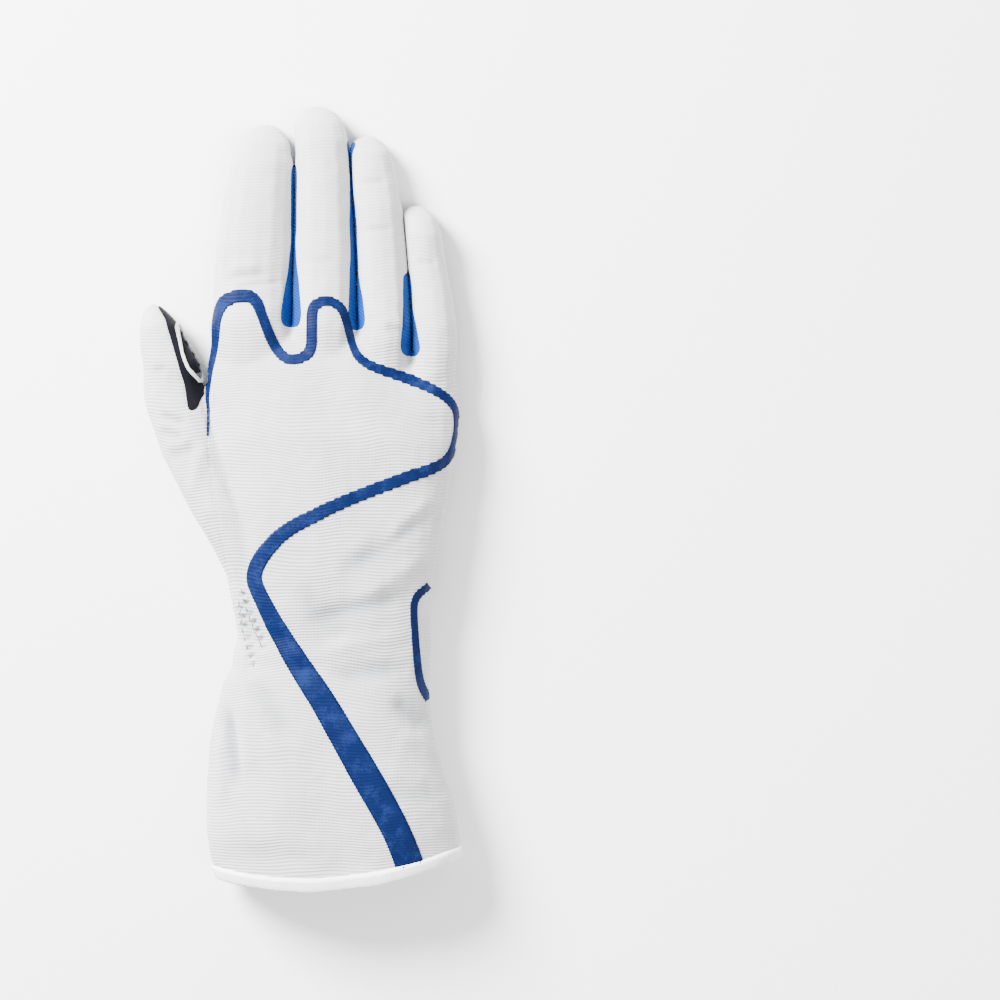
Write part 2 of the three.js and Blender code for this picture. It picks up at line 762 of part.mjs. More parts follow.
function nearestOn(place, outline) {
  return outline.reduce((least, from, i) => {
    const run = outline[(i + 1) % outline.length].clone().sub(from);
    const share = THREE.MathUtils.clamp(place.clone().sub(from).dot(run) / run.lengthSq(), 0, 1);
    return Math.min(least, place.distanceTo(from.clone().addScaledVector(run, share)));
  }, Infinity);
}

// The same outline drawn in by the width of the rim.
function insetOutline(outline, distance) {
  const turn = THREE.ShapeUtils.isClockWise(outline) ? -1 : 1;
  return outline
    .map((place, i) => {
      const before = outline[(i + outline.length - 1) % outline.length];
      const after = outline[(i + 1) % outline.length];
      const run = after.clone().sub(before).normalize();
      return xy(-run.y * turn, run.x * turn).multiplyScalar(distance).add(place);
    })
    .filter((place) => nearestOn(place, outline) > distance * 0.93);
}

// A grip is a rim with bars across it, as one flat piece. Each bar follows the guide, a step further on.
function gripSolid(outline, { guide, step, count, first, top, rim, bar_top = top }) {
  const plate = planPrism(outline, 0, top);
  const window = planPrism(insetOutline(outline, rim), -top, 2 * top);
  const bar_field = planPrism(insetOutline(outline, rim / 2), 0, bar_top);
  const half_bar = xy(bar_width / 2, 0).rotateAround(xy(0, 0), Math.atan2(step.y, step.x));
  const bars = Array.from({ length: count }, (_, i) => {
    const shift = step.clone().multiplyScalar(i + first);
    const edge = (side) => guide.map((p) => p.clone().add(shift).addScaledVector(half_bar, side));
    return planPrism([...edge(1), ...edge(-1).reverse()], 0, bar_top);
  });
  return plate.subtract(window).add(joined(bars).intersect(bar_field));
}

// Across the hand, or from its thumb side where the row says so.
const acrossOf = (row) => ('beside' in row ? thumb_side + row.beside * thumb_width : across(row.across));
const placesOf = (rows) => rows.map((row) => xy(acrossOf(row), along(row.along)));

const heel_outline = [
  { across: -0.9, along: 0.865 },
  { across: -0.88, along: 0.95 },
  { across: -0.84, along: 1.04 },
  { across: -0.76, along: 1.058 },
  { across: -0.67, along: 1.045 },
  { across: -0.62, along: 0.975 },
  { across: -0.56, along: 0.92 },
  { across: -0.43, along: 0.895 },
  { across: -0.2, along: 0.865 },
  { across: -0.04, along: 0.82 },
  { across: 0.15, along: 0.775 },
  { across: 0.42, along: 0.75 },
  { across: 0.66, along: 0.72 },
  { across: 0.75, along: 0.68 },
  { across: 0.8, along: 0.58 },
  { across: 0.85, along: 0.44 },
  { across: 0.8, along: 0.33 },
  { across: 0.72, along: 0.275 },
  { across: 0.5, along: 0.24 },
  { across: 0.25, along: 0.2 },
  { across: 0.06, along: 0.225 },
  { across: -0.03, along: 0.26 },
  { across: 0.03, along: 0.33 },
  { across: 0.1, along: 0.42 },
  { across: 0.1, along: 0.53 },
  { across: 0.03, along: 0.64 },
  { across: -0.1, along: 0.75 },
  { across: -0.27, along: 0.82 },
  { across: -0.5, along: 0.855 },
  { across: -0.7, along: 0.86 },
];

const heel_guide = [
  { across: -0.75, along: 1.12 },
  { across: -0.3, along: 0.91 },
  { across: 0.0, along: 0.73 },
  { across: 0.16, along: 0.55 },
  { across: 0.26, along: 0.38 },
  { across: 0.3, along: 0.15 },
];

const knuckle_outline = [
  { across: -0.35, along: 0.935 },
  { across: -0.26, along: 0.97 },
  { across: -0.18, along: 1.04 },
  { across: -0.1, along: 1.075 },
  { across: 0.0, along: 1.065 },
  { across: 0.04, along: 1.0 },
  { across: 0.1, along: 0.94 },
  { across: 0.2, along: 0.92 },
  { across: 0.29, along: 0.955 },
  { across: 0.33, along: 1.015 },
  { across: 0.42, along: 1.03 },
  { across: 0.49, along: 1.0 },
  { across: 0.51, along: 0.92 },
  { across: 0.58, along: 0.87 },
  { across: 0.67, along: 0.88 },
  { across: 0.73, along: 0.94 },
  { across: 0.77, along: 1.005 },
  { across: 0.86, along: 1.01 },
  { across: 0.91, along: 0.95 },
  { across: 0.9, along: 0.84 },
  { across: 0.87, along: 0.755 },
  { across: 0.66, along: 0.775 },
  { across: 0.4, along: 0.805 },
  { across: 0.17, along: 0.845 },
  { across: 0.0, along: 0.895 },
  { across: -0.2, along: 0.925 },
];

const knuckle_guide = [
  { across: -0.75, along: 1.12 },
  { across: 0.35, along: 0.78 },
];

const thenar_outline = [
  { across: -0.34, along: 0.635 },
  { across: -0.41, along: 0.6 },
  { across: -0.47, along: 0.53 },
  { across: -0.55, along: 0.45 },
  { across: -0.57, along: 0.385 },
  { across: -0.5, along: 0.33 },
  { across: -0.38, along: 0.295 },
  { across: -0.28, along: 0.285 },
  { across: -0.19, along: 0.33 },
  { across: -0.09, along: 0.41 },
  { across: -0.04, along: 0.5 },
  { across: -0.1, along: 0.575 },
  { across: -0.2, along: 0.62 },
];

const thenar_guide = [
  { across: -0.68, along: 0.66 },
  { across: -0.53, along: 0.55 },
  { across: -0.49, along: 0.43 },
  { across: -0.56, along: 0.25 },
];

const web_outline = [
  { across: -0.92, along: 0.84 },
  { across: -0.91, along: 0.79 },
  { across: -0.84, along: 0.755 },
  { across: -0.78, along: 0.7 },
  { across: -0.78, along: 0.635 },
  { across: -0.88, along: 0.63 },
  { across: -0.95, along: 0.68 },
  { across: -1.01, along: 0.75 },
  { across: -0.97, along: 0.81 },
];

const web_guide = [
  { across: -1.1, along: 0.6 },
  { across: -0.88, along: 0.86 },
];

// Beside: from the side of the hand, as a share of the thumb's width.
const thumb_outline = [
  { beside: -0.47, along: 1.01 },
  { beside: -0.42, along: 0.96 },
  { beside: -0.37, along: 0.916 },
  { beside: -0.29, along: 0.872 },
  { beside: -0.16, along: 0.844 },
  { beside: -0.03, along: 0.823 },
  { beside: 0.01, along: 0.85 },
  { beside: 0.0, along: 0.895 },
  { beside: -0.05, along: 0.94 },
  { beside: -0.16, along: 0.99 },
  { beside: -0.31, along: 1.035 },
  { beside: -0.43, along: 1.05 },
];

const thumb_guide = [
  { beside: -0.56, along: 0.99 },
  { beside: 0.15, along: 0.88 },
];

// A fingertip grip: a shield with a round top that narrows towards the palm.
function shieldOutline(middle, top) {
  const half = tip_grip_width / 2;
  const foot = 0.62 * half;
  const corner = 0.28 * half;
  const bottom = top - tip_grip_length;
  const shape = new THREE.Shape();
  shape.moveTo(middle - foot + corner, bottom);
  shape.lineTo(middle + foot - corner, bottom);
  shape.quadraticCurveTo(middle + foot, bottom, middle + foot, bottom + corner);
  shape.lineTo(middle + half, top - half);
  shape.absarc(middle, top - half, half, 0, Math.PI, false);
  shape.lineTo(middle - foot, bottom + corner);
  shape.quadraticCurveTo(middle - foot, bottom, middle - foot + corner, bottom);
  return shape.getSpacedPoints(16).slice(0, 16);
}

function tipGrip(finger) {
  const middle = blend(finger.x, fingerTipX(finger), 0.8);
  const top = finger.root + finger.length - 0.11 * finger_thickness - tip_grip_width * 0.35;
  const step = xy(0, -bar_pitch * 1.2);
  const guide = [-1, 1].map((side) => {
    const y = top - 1 - (tip_grip_width * (1 + side)) / 2;
    return xy(middle + side * tip_grip_width, y);
  });
  const bars = { guide, step, count: 5, first: -0.2 };
  return gripSolid(shieldOutline(middle, top), { ...bars, top: grip_height, rim: rim_width });
}

// Materials
const cloth = { color: 0xe4e4e6, roughness: 0.85 };
const navy = { color: 0x17192b, roughness: 0.92 };
const blue = { color: 0x1a5fb0, roughness: 0.8 };
const film = { color: 0x0b4196, roughness: 0.4 };
const satin = { color: 0xf0f0f2, roughness: 0.5 };
const silicone = { color: 0xf2f2f2, roughness: 0.45 };

const glove = new THREE.Group();
const model = new THREE.Group();
glove.add(model);

function addPiece(name, solid, finish) {
  const material = new THREE.MeshStandardMaterial({ metalness: 0, ...finish });
  const mesh = new THREE.Mesh(geometryOf(solid), material);
  mesh.name = name;
  model.add(mesh);
}

const outside = gloveForm(0, false);
const lining = gloveForm(cloth_wall, true);
const whole = outside.subtract(lining);

const facing_pairs = fingers.slice(1).map((finger, i) => [fingers[i], finger]);
const fourchettes = (grow) => joined(facing_pairs.map(([a, b]) => fourchetteRegion(a, b, grow)));

const palm = whole.intersect(palmRegion(0)).subtract(fourchettes(seam_gap));
const cuff = whole.intersect(cuffRegion(0)).subtract(palmRegion(seam_gap));
const inset_seams = joined([palmRegion(seam_gap), cuffRegion(seam_gap), fourchettes(seam_gap)]);
const white = whole.subtract(inset_seams);

addPiece('hand_back', mainBody(white.subtract(thumbRegion(seam_gap))), cloth);
addPiece('thumb_back', mainBody(white.intersect(thumbRegion(0))), cloth);
addPiece('palm', mainBody(palm), navy);
addPiece('cuff', mainBody(cuff), cloth);
addPiece('hem_binding', hemTape(), satin);
facing_pairs.forEach(([a, b]) => {
  const strip = whole.intersect(fourchetteRegion(a, b, 0));
  addPiece(`fourchette_${a.name}_${b.name}`, mainBody(strip), blue);
});

// The stripe and the patch edge are a film on the cloth.
const film_skin = gloveForm(-seam_gap - film_thickness, false).subtract(gloveForm(-seam_gap, false));
const backSkin = film_skin.subtract(belowSeam(seam_gap));
const stripe = ribbonOutline(stripe_route, (row) => row.width * stripe_end_width);
const patch_edge = ribbonOutline(patch_route, () => patch_edge_width);
addPiece('back_stripe', mainBody(backSkin.intersect(planPrism(stripe))), film);
addPiece('side_patch_edge', mainBody(backSkin.intersect(planPrism(patch_edge))), film);

fingers.forEach((finger) => addPiece(`${finger.name}_tip_grip`, tipGrip(finger), silicone));

// Bars of the palm's grips. Points: corners of the outline. Right and up: the step from bar to bar, in mm.
const flat_grips = [
  { name: 'heel_grip', points: 36, right: 4.2, up: 2.4, count: 20, first: -7 },
  { name: 'knuckle_grip', points: 40, right: 2.6, up: 3.6, count: 13, first: 0 },
  { name: 'thenar_grip', points: 16, right: 3.7, up: 0, count: 8, first: 0 },
];
// The thumb's grip goes round the inner side of the thumb, its bars not as far as its rim.
const web_level = side_seam_share * thumb_thickness;
const bar_level = 0.62 * thumb_thickness;
const curved_grips = [
  { name: 'web_grip', points: 14, right: 3, up: -1, count: 6, first: 0, rim_top: web_level },
  { name: 'thumb_grip', points: 18, right: 1.1, up: -3.4, count: 6, first: -2, rim_top: reach },
];
const grip_lines = {
  heel_grip: [heel_outline, heel_guide],
  knuckle_grip: [knuckle_outline, knuckle_guide],
  thenar_grip: [thenar_outline, thenar_guide],
  web_grip: [web_outline, web_guide],
  thumb_grip: [thumb_outline, thumb_guide],
};

function palmGrip({ name, points, right, up, count, first }, top, rim) {
  const [outline, guide_rows] = grip_lines[name];
  const bars = { guide: placesOf(guide_rows), step: xy(right, up), count, first };
  const bar_top = Math.min(top, bar_level);
  return gripSolid(closedOutline(outline, points), { ...bars, top, rim, bar_top });
}

flat_grips.forEach((grip) => addPiece(grip.name, palmGrip(grip, grip_height, rim_width), silicone));

// The grips beside the thumb follow the palm's cloth where it turns up.
const grip_skin = gloveForm(-rest_height, false).subtract(gloveForm(-seam_gap, false));
curved_grips.forEach((grip) => {
  const solid = palmGrip(grip, grip.rim_top, thumb_rim_width).intersect(grip_skin);
  addPiece(grip.name, mainBody(solid), silicone);
});

// The part's origin is under the middle of its box, on the surface it rests on.
const box = new THREE.Box3().setFromObject(model);
const middle = box.getCenter(new THREE.Vector3());
model.position.set(-middle.x, -middle.y, -box.min.z);

export default glove;
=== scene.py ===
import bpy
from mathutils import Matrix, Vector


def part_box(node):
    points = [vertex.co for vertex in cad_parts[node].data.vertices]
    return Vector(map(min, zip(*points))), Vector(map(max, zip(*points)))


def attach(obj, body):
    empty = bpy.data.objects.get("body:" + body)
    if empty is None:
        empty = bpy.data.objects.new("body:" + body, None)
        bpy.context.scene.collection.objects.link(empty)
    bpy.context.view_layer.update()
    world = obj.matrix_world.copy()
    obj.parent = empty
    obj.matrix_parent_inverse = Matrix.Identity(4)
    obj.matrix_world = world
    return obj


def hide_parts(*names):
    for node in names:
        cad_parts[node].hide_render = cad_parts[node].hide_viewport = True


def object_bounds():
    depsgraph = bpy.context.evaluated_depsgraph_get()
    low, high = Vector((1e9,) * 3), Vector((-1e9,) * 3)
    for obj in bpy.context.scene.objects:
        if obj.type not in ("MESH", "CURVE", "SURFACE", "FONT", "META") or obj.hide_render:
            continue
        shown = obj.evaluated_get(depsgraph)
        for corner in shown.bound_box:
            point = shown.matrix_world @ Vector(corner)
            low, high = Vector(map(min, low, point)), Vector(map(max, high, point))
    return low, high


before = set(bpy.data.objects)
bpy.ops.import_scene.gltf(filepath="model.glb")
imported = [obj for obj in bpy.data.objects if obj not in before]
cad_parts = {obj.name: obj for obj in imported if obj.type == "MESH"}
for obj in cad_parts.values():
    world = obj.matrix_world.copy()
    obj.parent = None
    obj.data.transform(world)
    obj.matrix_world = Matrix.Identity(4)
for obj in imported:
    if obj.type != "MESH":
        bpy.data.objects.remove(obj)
CAD_BOX = [list(corner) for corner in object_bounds()]

import math

import bmesh
import bpy
import numpy as np
from bpy.props import FloatProperty, FloatVectorProperty, IntProperty, PointerProperty
from mathutils import Vector, noise
from mathutils.bvhtree import BVHTree
from mathutils.geometry import convex_hull_2d
from mathutils.kdtree import KDTree

bl_info = {
    "name": "Karting glove",
    "version": (1, 0, 0),
    "blender": (4, 5, 0),
    "location": "3D View > Sidebar > Glove",
    "description": "Soft cloth, film trim, hem tape, seams and silicone grips for the glove's frame",
    "category": "Add Mesh",
}

MM = 0.001

# Places on the back of the glove are pixels of the photograph, straight down on the glove.
PIXEL = 0.4 * MM
PIXEL_X0 = 299.5
PIXEL_Y0 = 497.6

# Points of a CAD node closer than this are one.
SAME_PLACE = 0.005 * MM

# Fewer faces than this aren't a cloth of their own.
SMALL_ISLAND = 400

CLOTH_NODES = (
    "hand_back",
    "thumb_back",
    "palm",
    "cuff",
    "hem_binding",
    "fourchette_index_middle",
    "fourchette_middle_ring",
    "fourchette_ring_little",
)

# The slits between the digits, from the thumb to the little finger, in mm: where each starts, where its
# walls stop leaning together, how far its blue cloth goes, and its middle line as pairs of a height on the
# glove and a place across it.
SLITS = (
    {
        "bottom": 43,
        "line": ((40, -37.6), (48, -38.4), (56, -39.3), (64, -41.0), (72, -43.8), (78, -46.0)),
    },
    {
        "bottom": 67,
        "top": 138,
        "blue_to": 133,
        "line": ((67, -3.7), (76, -3.3), (92, -3.05), (108, -2.6), (132, -2.3), (148, -3.6)),
    },
    {
        "bottom": 66,
        "top": 146,
        "blue_to": 143,
        "line": ((66, 23.0), (84, 22.7), (100, 22.2), (112, 21.5), (124, 20.6), (140, 19.8)),
    },
    {
        "bottom": 58,
        "top": 120,
        "blue_to": 90,
        "line": ((58, 44.7), (72, 44.5), (84, 43.9), (100, 42.6), (112, 41.5), (120, 41.2)),
    },
)

# How a slit opens above its foot, and from which share of its opening it counts as open.
SLIT_RISE = 12 * MM
SLIT_START = 0.02
CLOSE_START = 0.05
SLIT_ROUND = 0.5 * MM

# The walls of a slit lean together from this height up, over this rise, and fade out again over these
# lengths.
LEAN_FROM = 2.5 * MM
LEAN_RISE = 1.5 * MM
LEAN_FADE = 3.5 * MM
LEAN_END = 6 * MM
LEAN_EDGE = 0.6
LEAN_SLOPE = 0.06

# The blue cloth in a slit: its reach to each side, its lowest level, its top under the leaning walls, and
# how it turns white past its end.
SLIT_REACH = 2.2 * MM
BLUE_REACH = 3.5 * MM
BLUE_FROM = 3.4 * MM
BLUE_UNDER = 2 * MM
BLUE_END = 4 * MM
WHITE_FROM = 9.5 * MM

# The soft dents of the cloth: share of the puff, size and noise seed.
DENTS = ((1.0, 16 * MM, 1), (0.35, 5 * MM, 2))

# Rounds that smooth the cloth beside a seam.
SEAM_SMOOTHING = 4

# The knit between the fingers is thinner than the other cloth.
KNIT_SHARE = 0.8

# A corner of the inner side this many thicknesses away is put back.
THROWN_OUT = 1.5

# The faces that close the cuff's mouth point down the glove at least this much.
HEM_CAP = -0.55

# The hem tape is measured in columns this wide, over and under this height.
TAPE_COLUMN = 2 * MM
TAPE_MIDDLE = 15 * MM

# How far the ribs drift from straight.
RIB_DRIFT = 11 * MM

# The ribs are plain on the hand and faint on the fingers.
RIB_FADE = {"From Min": 62 * MM, "From Max": 78 * MM, "To Min": 1.0, "To Max": 0.3}

# A fold this deep has the most painted shade in its hollow.
CREASE_DEPTH = 0.9 * MM

# Folds and creases of the back: the pixels where each starts and ends, then its half width and depth in mm.
# A crease goes in and a ridge has a negative depth. A last value is the pitch of puckers along it, in mm.
BACK_FOLDS = (
    (222, 278, 272, 274, 1.5, 0.35),
    (236, 286, 288, 281, 1.2, 0.3),
    (228, 268, 262, 265, 2.0, -0.3),
    (300, 262, 338, 260, 1.6, 0.2),
    (359, 182, 388, 181, 1.4, 0.3),
    (362, 230, 396, 229, 1.4, 0.3),
    (414, 262, 438, 263, 1.4, 0.35),
    (384, 327, 406, 331, 1.8, 0.5),
    (420, 390, 452, 376, 2.6, 0.35),
    (150, 372, 168, 368, 1.6, 0.35),
    (160, 414, 188, 424, 1.5, 0.6),
    (156, 430, 186, 438, 1.8, 0.5),
    (166, 458, 198, 446, 2.4, 0.6),
    (190, 500, 206, 440, 2.8, -0.4),
    (340, 576, 436, 510, 4.0, 0.8),
    (352, 604, 432, 552, 4.0, -0.7),
    (372, 556, 440, 488, 3.2, -0.6),
    (300, 622, 418, 592, 3.6, 0.7),
    (322, 648, 410, 634, 3.6, -0.6),
    (330, 676, 410, 668, 3.6, 0.6),
    (296, 585, 352, 645, 5.0, 0.4),
    (240, 586, 247, 612, 1.3, 0.5, 3.6),
    (246, 606, 266, 654, 1.3, 0.55, 3.6),
    (238, 600, 243, 636, 1.3, 0.5, 3.6),
    (242, 630, 256, 672, 1.3, 0.55, 3.6),
    (240, 586, 266, 654, 2.2, 0.6),
    (237, 600, 254, 668, 2.2, 0.6),
    (226, 702, 238, 790, 2.8, 1.0),
    (216, 726, 226, 806, 3.0, -0.8),
    (240, 700, 252, 780, 3.4, -0.5),
    (254, 676, 292, 740, 4.5, 0.5),
    (392, 696, 430, 730, 3.6, 0.7),
    (398, 730, 440, 752, 3.6, -0.5),
    (380, 790, 446, 796, 4.6, 0.5),
    (230, 846, 330, 856, 4.0, 0.35),
)

# The gathers of the wrist elastic on the palm side: pixels across, and the level of the two elastic threads.
PALM_GATHERS = (252, 268, 285, 302, 319, 336, 353, 370, 387, 404)
PALM_ELASTIC = (640, 668)
PALM_GATHER_TOP = 618
PALM_GATHER_LOW = 706

# The blue trim of the back: pixels along its middle line and its width in mm.
STRIPE_ROUTE = (
    (208, 436, 0.8), (208, 410, 1.4), (207, 395, 1.8), (210, 370, 2.3), (214.5, 345, 3.0), (216.5, 320, 3.8),
    (221, 306, 4.8), (228, 299.5, 5.2), (240, 296, 5.2), (250, 297, 5.0), (257, 303, 4.6), (263, 318, 4.0),
    (269.5, 335, 4.1), (276, 348, 4.1), (284, 357, 4.1), (292, 360, 4.2), (300, 358.5, 4.2), (307, 355, 4.4),
    (311.5, 346, 4.3), (312, 330, 4.2), (312.5, 313, 4.2), (316, 305, 4.2), (325, 301.5, 4.0),
    (335, 303.5, 3.8), (342, 310, 3.5), (346, 321, 3.1), (349.5, 335, 3.0), (353.5, 348, 3.1),
    (359, 357.5, 3.4), (369, 365, 3.7), (383, 370.5, 4.0), (398, 375.5, 4.2), (417, 382.5, 4.2),
    (432, 389, 4.0), (445, 397, 3.7), (453, 406, 3.0), (456, 416, 2.3), (456, 430, 2.2), (453, 446, 2.6),
    (449, 456, 3.3), (442, 463.5, 4.0), (430, 469.5, 4.5), (410, 476.5, 4.8), (390, 484, 4.9),
    (370, 491.5, 5.0), (350, 499.5, 5.1), (330, 508.5, 5.3), (311, 518, 5.5), (297, 525, 5.6),
    (285.5, 532.5, 5.8), (275.5, 541.5, 6.0), (265, 554, 6.2), (257.5, 567, 6.3), (255.5, 579, 6.2),
    (259.5, 591, 6.2), (267, 606, 6.6), (275, 622, 7.3), (286, 641, 8.1), (302, 667, 9.2), (322.5, 698, 10.0),
    (342, 731, 10.8), (361, 764, 11.4), (380, 797, 11.5), (397, 829, 11.2), (408, 856, 11.2),
    (411, 866, 11.2),
)
PATCH_ROUTE = (
    (429, 585.6, 2.6), (426, 588, 2.9), (418, 595, 3.0), (414.5, 603, 2.9), (414, 614, 2.8),
    (415, 632, 2.8), (416.5, 652, 2.9), (418.5, 672, 3.0), (421, 684, 3.1), (425, 693, 3.1),
    (428.5, 699.5, 2.9),
)

# The film's mesh: from row to row, how many columns across, and what counts as its edge.
FILM_STEP = 0.5 * MM
FILM_COLUMNS = 8
FILM_EDGE = 0.99
ROUTE_STEPS = 12
MIDDLE_HEIGHT = 14 * MM

# The grips beside the thumb follow its curve. Their outer edges on the plan, in pixels.
CURVED_GRIPS = ("thumb_grip", "web_grip")
GRIP_OUTLINES = {
    "thumb_grip": (
        (175.7, 324.8), (178.8, 340.8), (181.9, 354.9), (186.9, 369.0), (194.9, 377.9), (203.0, 384.6),
        (205.5, 376.0), (204.9, 361.6), (201.8, 347.2), (194.9, 331.2), (185.6, 316.8), (178.2, 312.0),
    ),
}

# A grip's faces count as its underside or its side by how they lie, and a point this far off the cloth is on
# the outer face. The inner face is set this deep into the cloth.
GRIP_UNDER = 0.25
GRIP_SIDE = 0.2
OUTER_FACE = 0.6 * MM
GRIP_SEAT = 0.1 * MM
SHARP_EDGE = math.radians(50)

# A flat grip follows the palm where that faces down, up to this rise.
LEVEL = 0.05 * MM
PALM_RISE = 6 * MM
PALM_DOWN = -0.75

# Rows of stitches: the route in pixels, whether it is on the palm side, whether the thread is grey, and how
# much larger than the plain stitches these are.
STITCH_ROWS = {
    "palm_hem_stitches_outer": (
        ((286, 611), (304, 608), (322, 602), (336, 596), (354, 594), (400, 592), (432, 590)),
        True,
        False,
        1.0,
    ),
    "palm_hem_stitches_inner": (
        ((287, 605), (305, 602), (323, 596), (337, 590), (355, 588), (400, 586), (432, 584)),
        True,
        False,
        1.0,
    ),
    "gusset_stitches": (((207.5, 396), (208, 410), (208.5, 440)), False, True, 1.0),
    # The dark rows along the wrist gathers are stitches, and at the puckers' pitch they also paint the shade
    # in the puckers.
    "wrist_stitches_inner": (((242, 588), (248, 612), (257, 634), (267, 656)), False, True, 1.6),
    "wrist_stitches_outer": (((239, 600), (243, 634), (249, 652), (257, 674)), False, True, 1.6),
}


STITCH_STEP = 0.25 * MM
THREAD_SECTION = (0.55 * MM, 0.5 * MM)
THREAD_STAND = 0.08 * MM
GREY_THREAD = (0.08, 0.08, 0.09)
WHITE_THREAD = (0.75, 0.75, 0.76)

# Heights under and over the glove, from which the cloth is looked for.
LOW_SIDE = -20 * MM
HIGH_SIDE = 60 * MM

# The lights: name, place in metres, size in metres and share of the main light's power.
LIGHTS = (
    ("key light", (-0.85, 0.75, 0.8), 0.7, 1.0),
    ("fill light", (0.9, -0.4, 1.2), 1.2, 0.12),
)
FLOOR_SIZE = 6.0

# The camera: the photograph's size in pixels, the sensor in mm and how far it sees in metres.
PHOTO_SIZE = 1000
SENSOR = 36.0
VIEW_END = 20.0


def photo_place(x, y):
    """A pixel of the photograph as a place on the glove's plan."""
    return (x - PIXEL_X0) * PIXEL, (PIXEL_Y0 - y) * PIXEL


# Node groups and materials


def new_group(name, inputs, outputs):
    group = bpy.data.node_groups.new(name, "ShaderNodeTree")
    for label, kind, default in inputs:
        socket = group.interface.new_socket(label, in_out="INPUT", socket_type=kind)
        if default is not None:
            socket.default_value = default
    for label, kind in outputs:
        group.interface.new_socket(label, in_out="OUTPUT", socket_type=kind)
    entry = group.nodes.new("NodeGroupInput")
    exit_node = group.nodes.new("NodeGroupOutput")
    return group, entry, exit_node


def add_node(tree, kind, **settings):
    """A node with its options set, and its sockets set where the name is a socket's."""
    node = tree.nodes.new(kind)
    for key, value in settings.items():
        if hasattr(node, key):
            setattr(node, key, value)
        else:
            node.inputs[key.replace("_", " ")].default_value = value
    return node


def math_node(tree, operation, first, second=None, third=None, clamp=False):
    node = tree.nodes.new("ShaderNodeMath")
    node.operation = operation
    node.use_clamp = clamp
    for socket, value in zip(node.inputs, (first, second, third)):
        if value is None:
            continue
        if isinstance(value, (int, float)):
            socket.default_value = value
        else:
            tree.links.new(value, socket)
    return node.outputs[0]


def rib_group():
    """Fine ribs across the glove, a little uneven, with the threads that cross them, and painted shade in the
    grooves between the ribs.
    """
    name = "Knit ribs"
    if name in bpy.data.node_groups:
        return bpy.data.node_groups[name]
    vector, number, color = "NodeSocketVector", "NodeSocketFloat", "NodeSocketColor"
    group, entry, leave = new_group(
        name,
        (
            ("Vector", vector, None),
            ("Pitch mm", number, 1.3),
            ("Thread mm", number, 0.55),
            ("Wobble", number, 1.0),
            ("Strength", number, 1.0),
            ("Light", color, (0.8, 0.8, 0.8, 1)),
            ("Dark", color, (0.6, 0.6, 0.6, 1)),
        ),
        (("Height", number), ("Color", color), ("Mask", number)),
    )
    links = group.links
    drift = add_node(group, "ShaderNodeTexNoise", Scale=24.0, Detail=1.0)
    links.new(entry.outputs["Vector"], drift.inputs["Vector"])
    skew = add_node(group, "ShaderNodeVectorMath", operation="MULTIPLY_ADD")
    skew.inputs[1].default_value = (0.0, RIB_DRIFT, 0.0)
    links.new(drift.outputs["Color"], skew.inputs[0])
    links.new(entry.outputs["Vector"], skew.inputs[2])
    rib_scale = math_node(group, "DIVIDE", math.pi / 10 / MM, entry.outputs["Pitch mm"])
    thread_scale = math_node(group, "DIVIDE", math.pi / 10 / MM, entry.outputs["Thread mm"])
    ribs = add_node(
        group, "ShaderNodeTexWave", wave_type="BANDS", bands_direction="Y", Detail=2.0, Detail_Scale=0.35
    )
    threads = add_node(
        group, "ShaderNodeTexWave", wave_type="BANDS", bands_direction="X", Detail=1.0, Detail_Scale=0.6
    )
    threads.inputs["Distortion"].default_value = 2.0
    for texture, scale in ((ribs, rib_scale), (threads, thread_scale)):
        links.new(skew.outputs["Vector"], texture.inputs["Vector"])
        links.new(scale, texture.inputs["Scale"])
    links.new(entry.outputs["Wobble"], ribs.inputs["Distortion"])
    cloud = add_node(group, "ShaderNodeTexNoise", Scale=60.0, Detail=3.0, Roughness=0.6)
    links.new(entry.outputs["Vector"], cloud.inputs["Vector"])
    fuzz = add_node(group, "ShaderNodeTexNoise", Scale=2600.0, Detail=2.0)
    links.new(entry.outputs["Vector"], fuzz.inputs["Vector"])
    crossed = math_node(group, "MULTIPLY_ADD", threads.outputs["Fac"], 0.25, ribs.outputs["Fac"])
    height = math_node(group, "MULTIPLY_ADD", fuzz.outputs["Fac"], 0.3, crossed)
    patchy = math_node(group, "MULTIPLY_ADD", cloud.outputs["Fac"], 1.6, -0.4, clamp=True)
    # Painted shade: in the ribs' grooves the colour turns to the dark one, more in some patches than in
    # others.
    groove = math_node(group, "SUBTRACT", 1.0, ribs.outputs["Fac"], clamp=True)
    height = math_node(group, "MULTIPLY", height, entry.outputs["Strength"])
    shade = math_node(group, "MULTIPLY", groove, patchy, clamp=True)
    shade = math_node(group, "MULTIPLY", shade, entry.outputs["Strength"])
    mix = add_node(group, "ShaderNodeMix", data_type="RGBA")
    links.new(shade, mix.inputs["Factor"])
    links.new(entry.outputs["Light"], mix.inputs[6])
    links.new(entry.outputs["Dark"], mix.inputs[7])
    links.new(height, leave.inputs["Height"])
    links.new(mix.outputs[2], leave.inputs["Color"])
    links.new(shade, leave.inputs["Mask"])
    return group


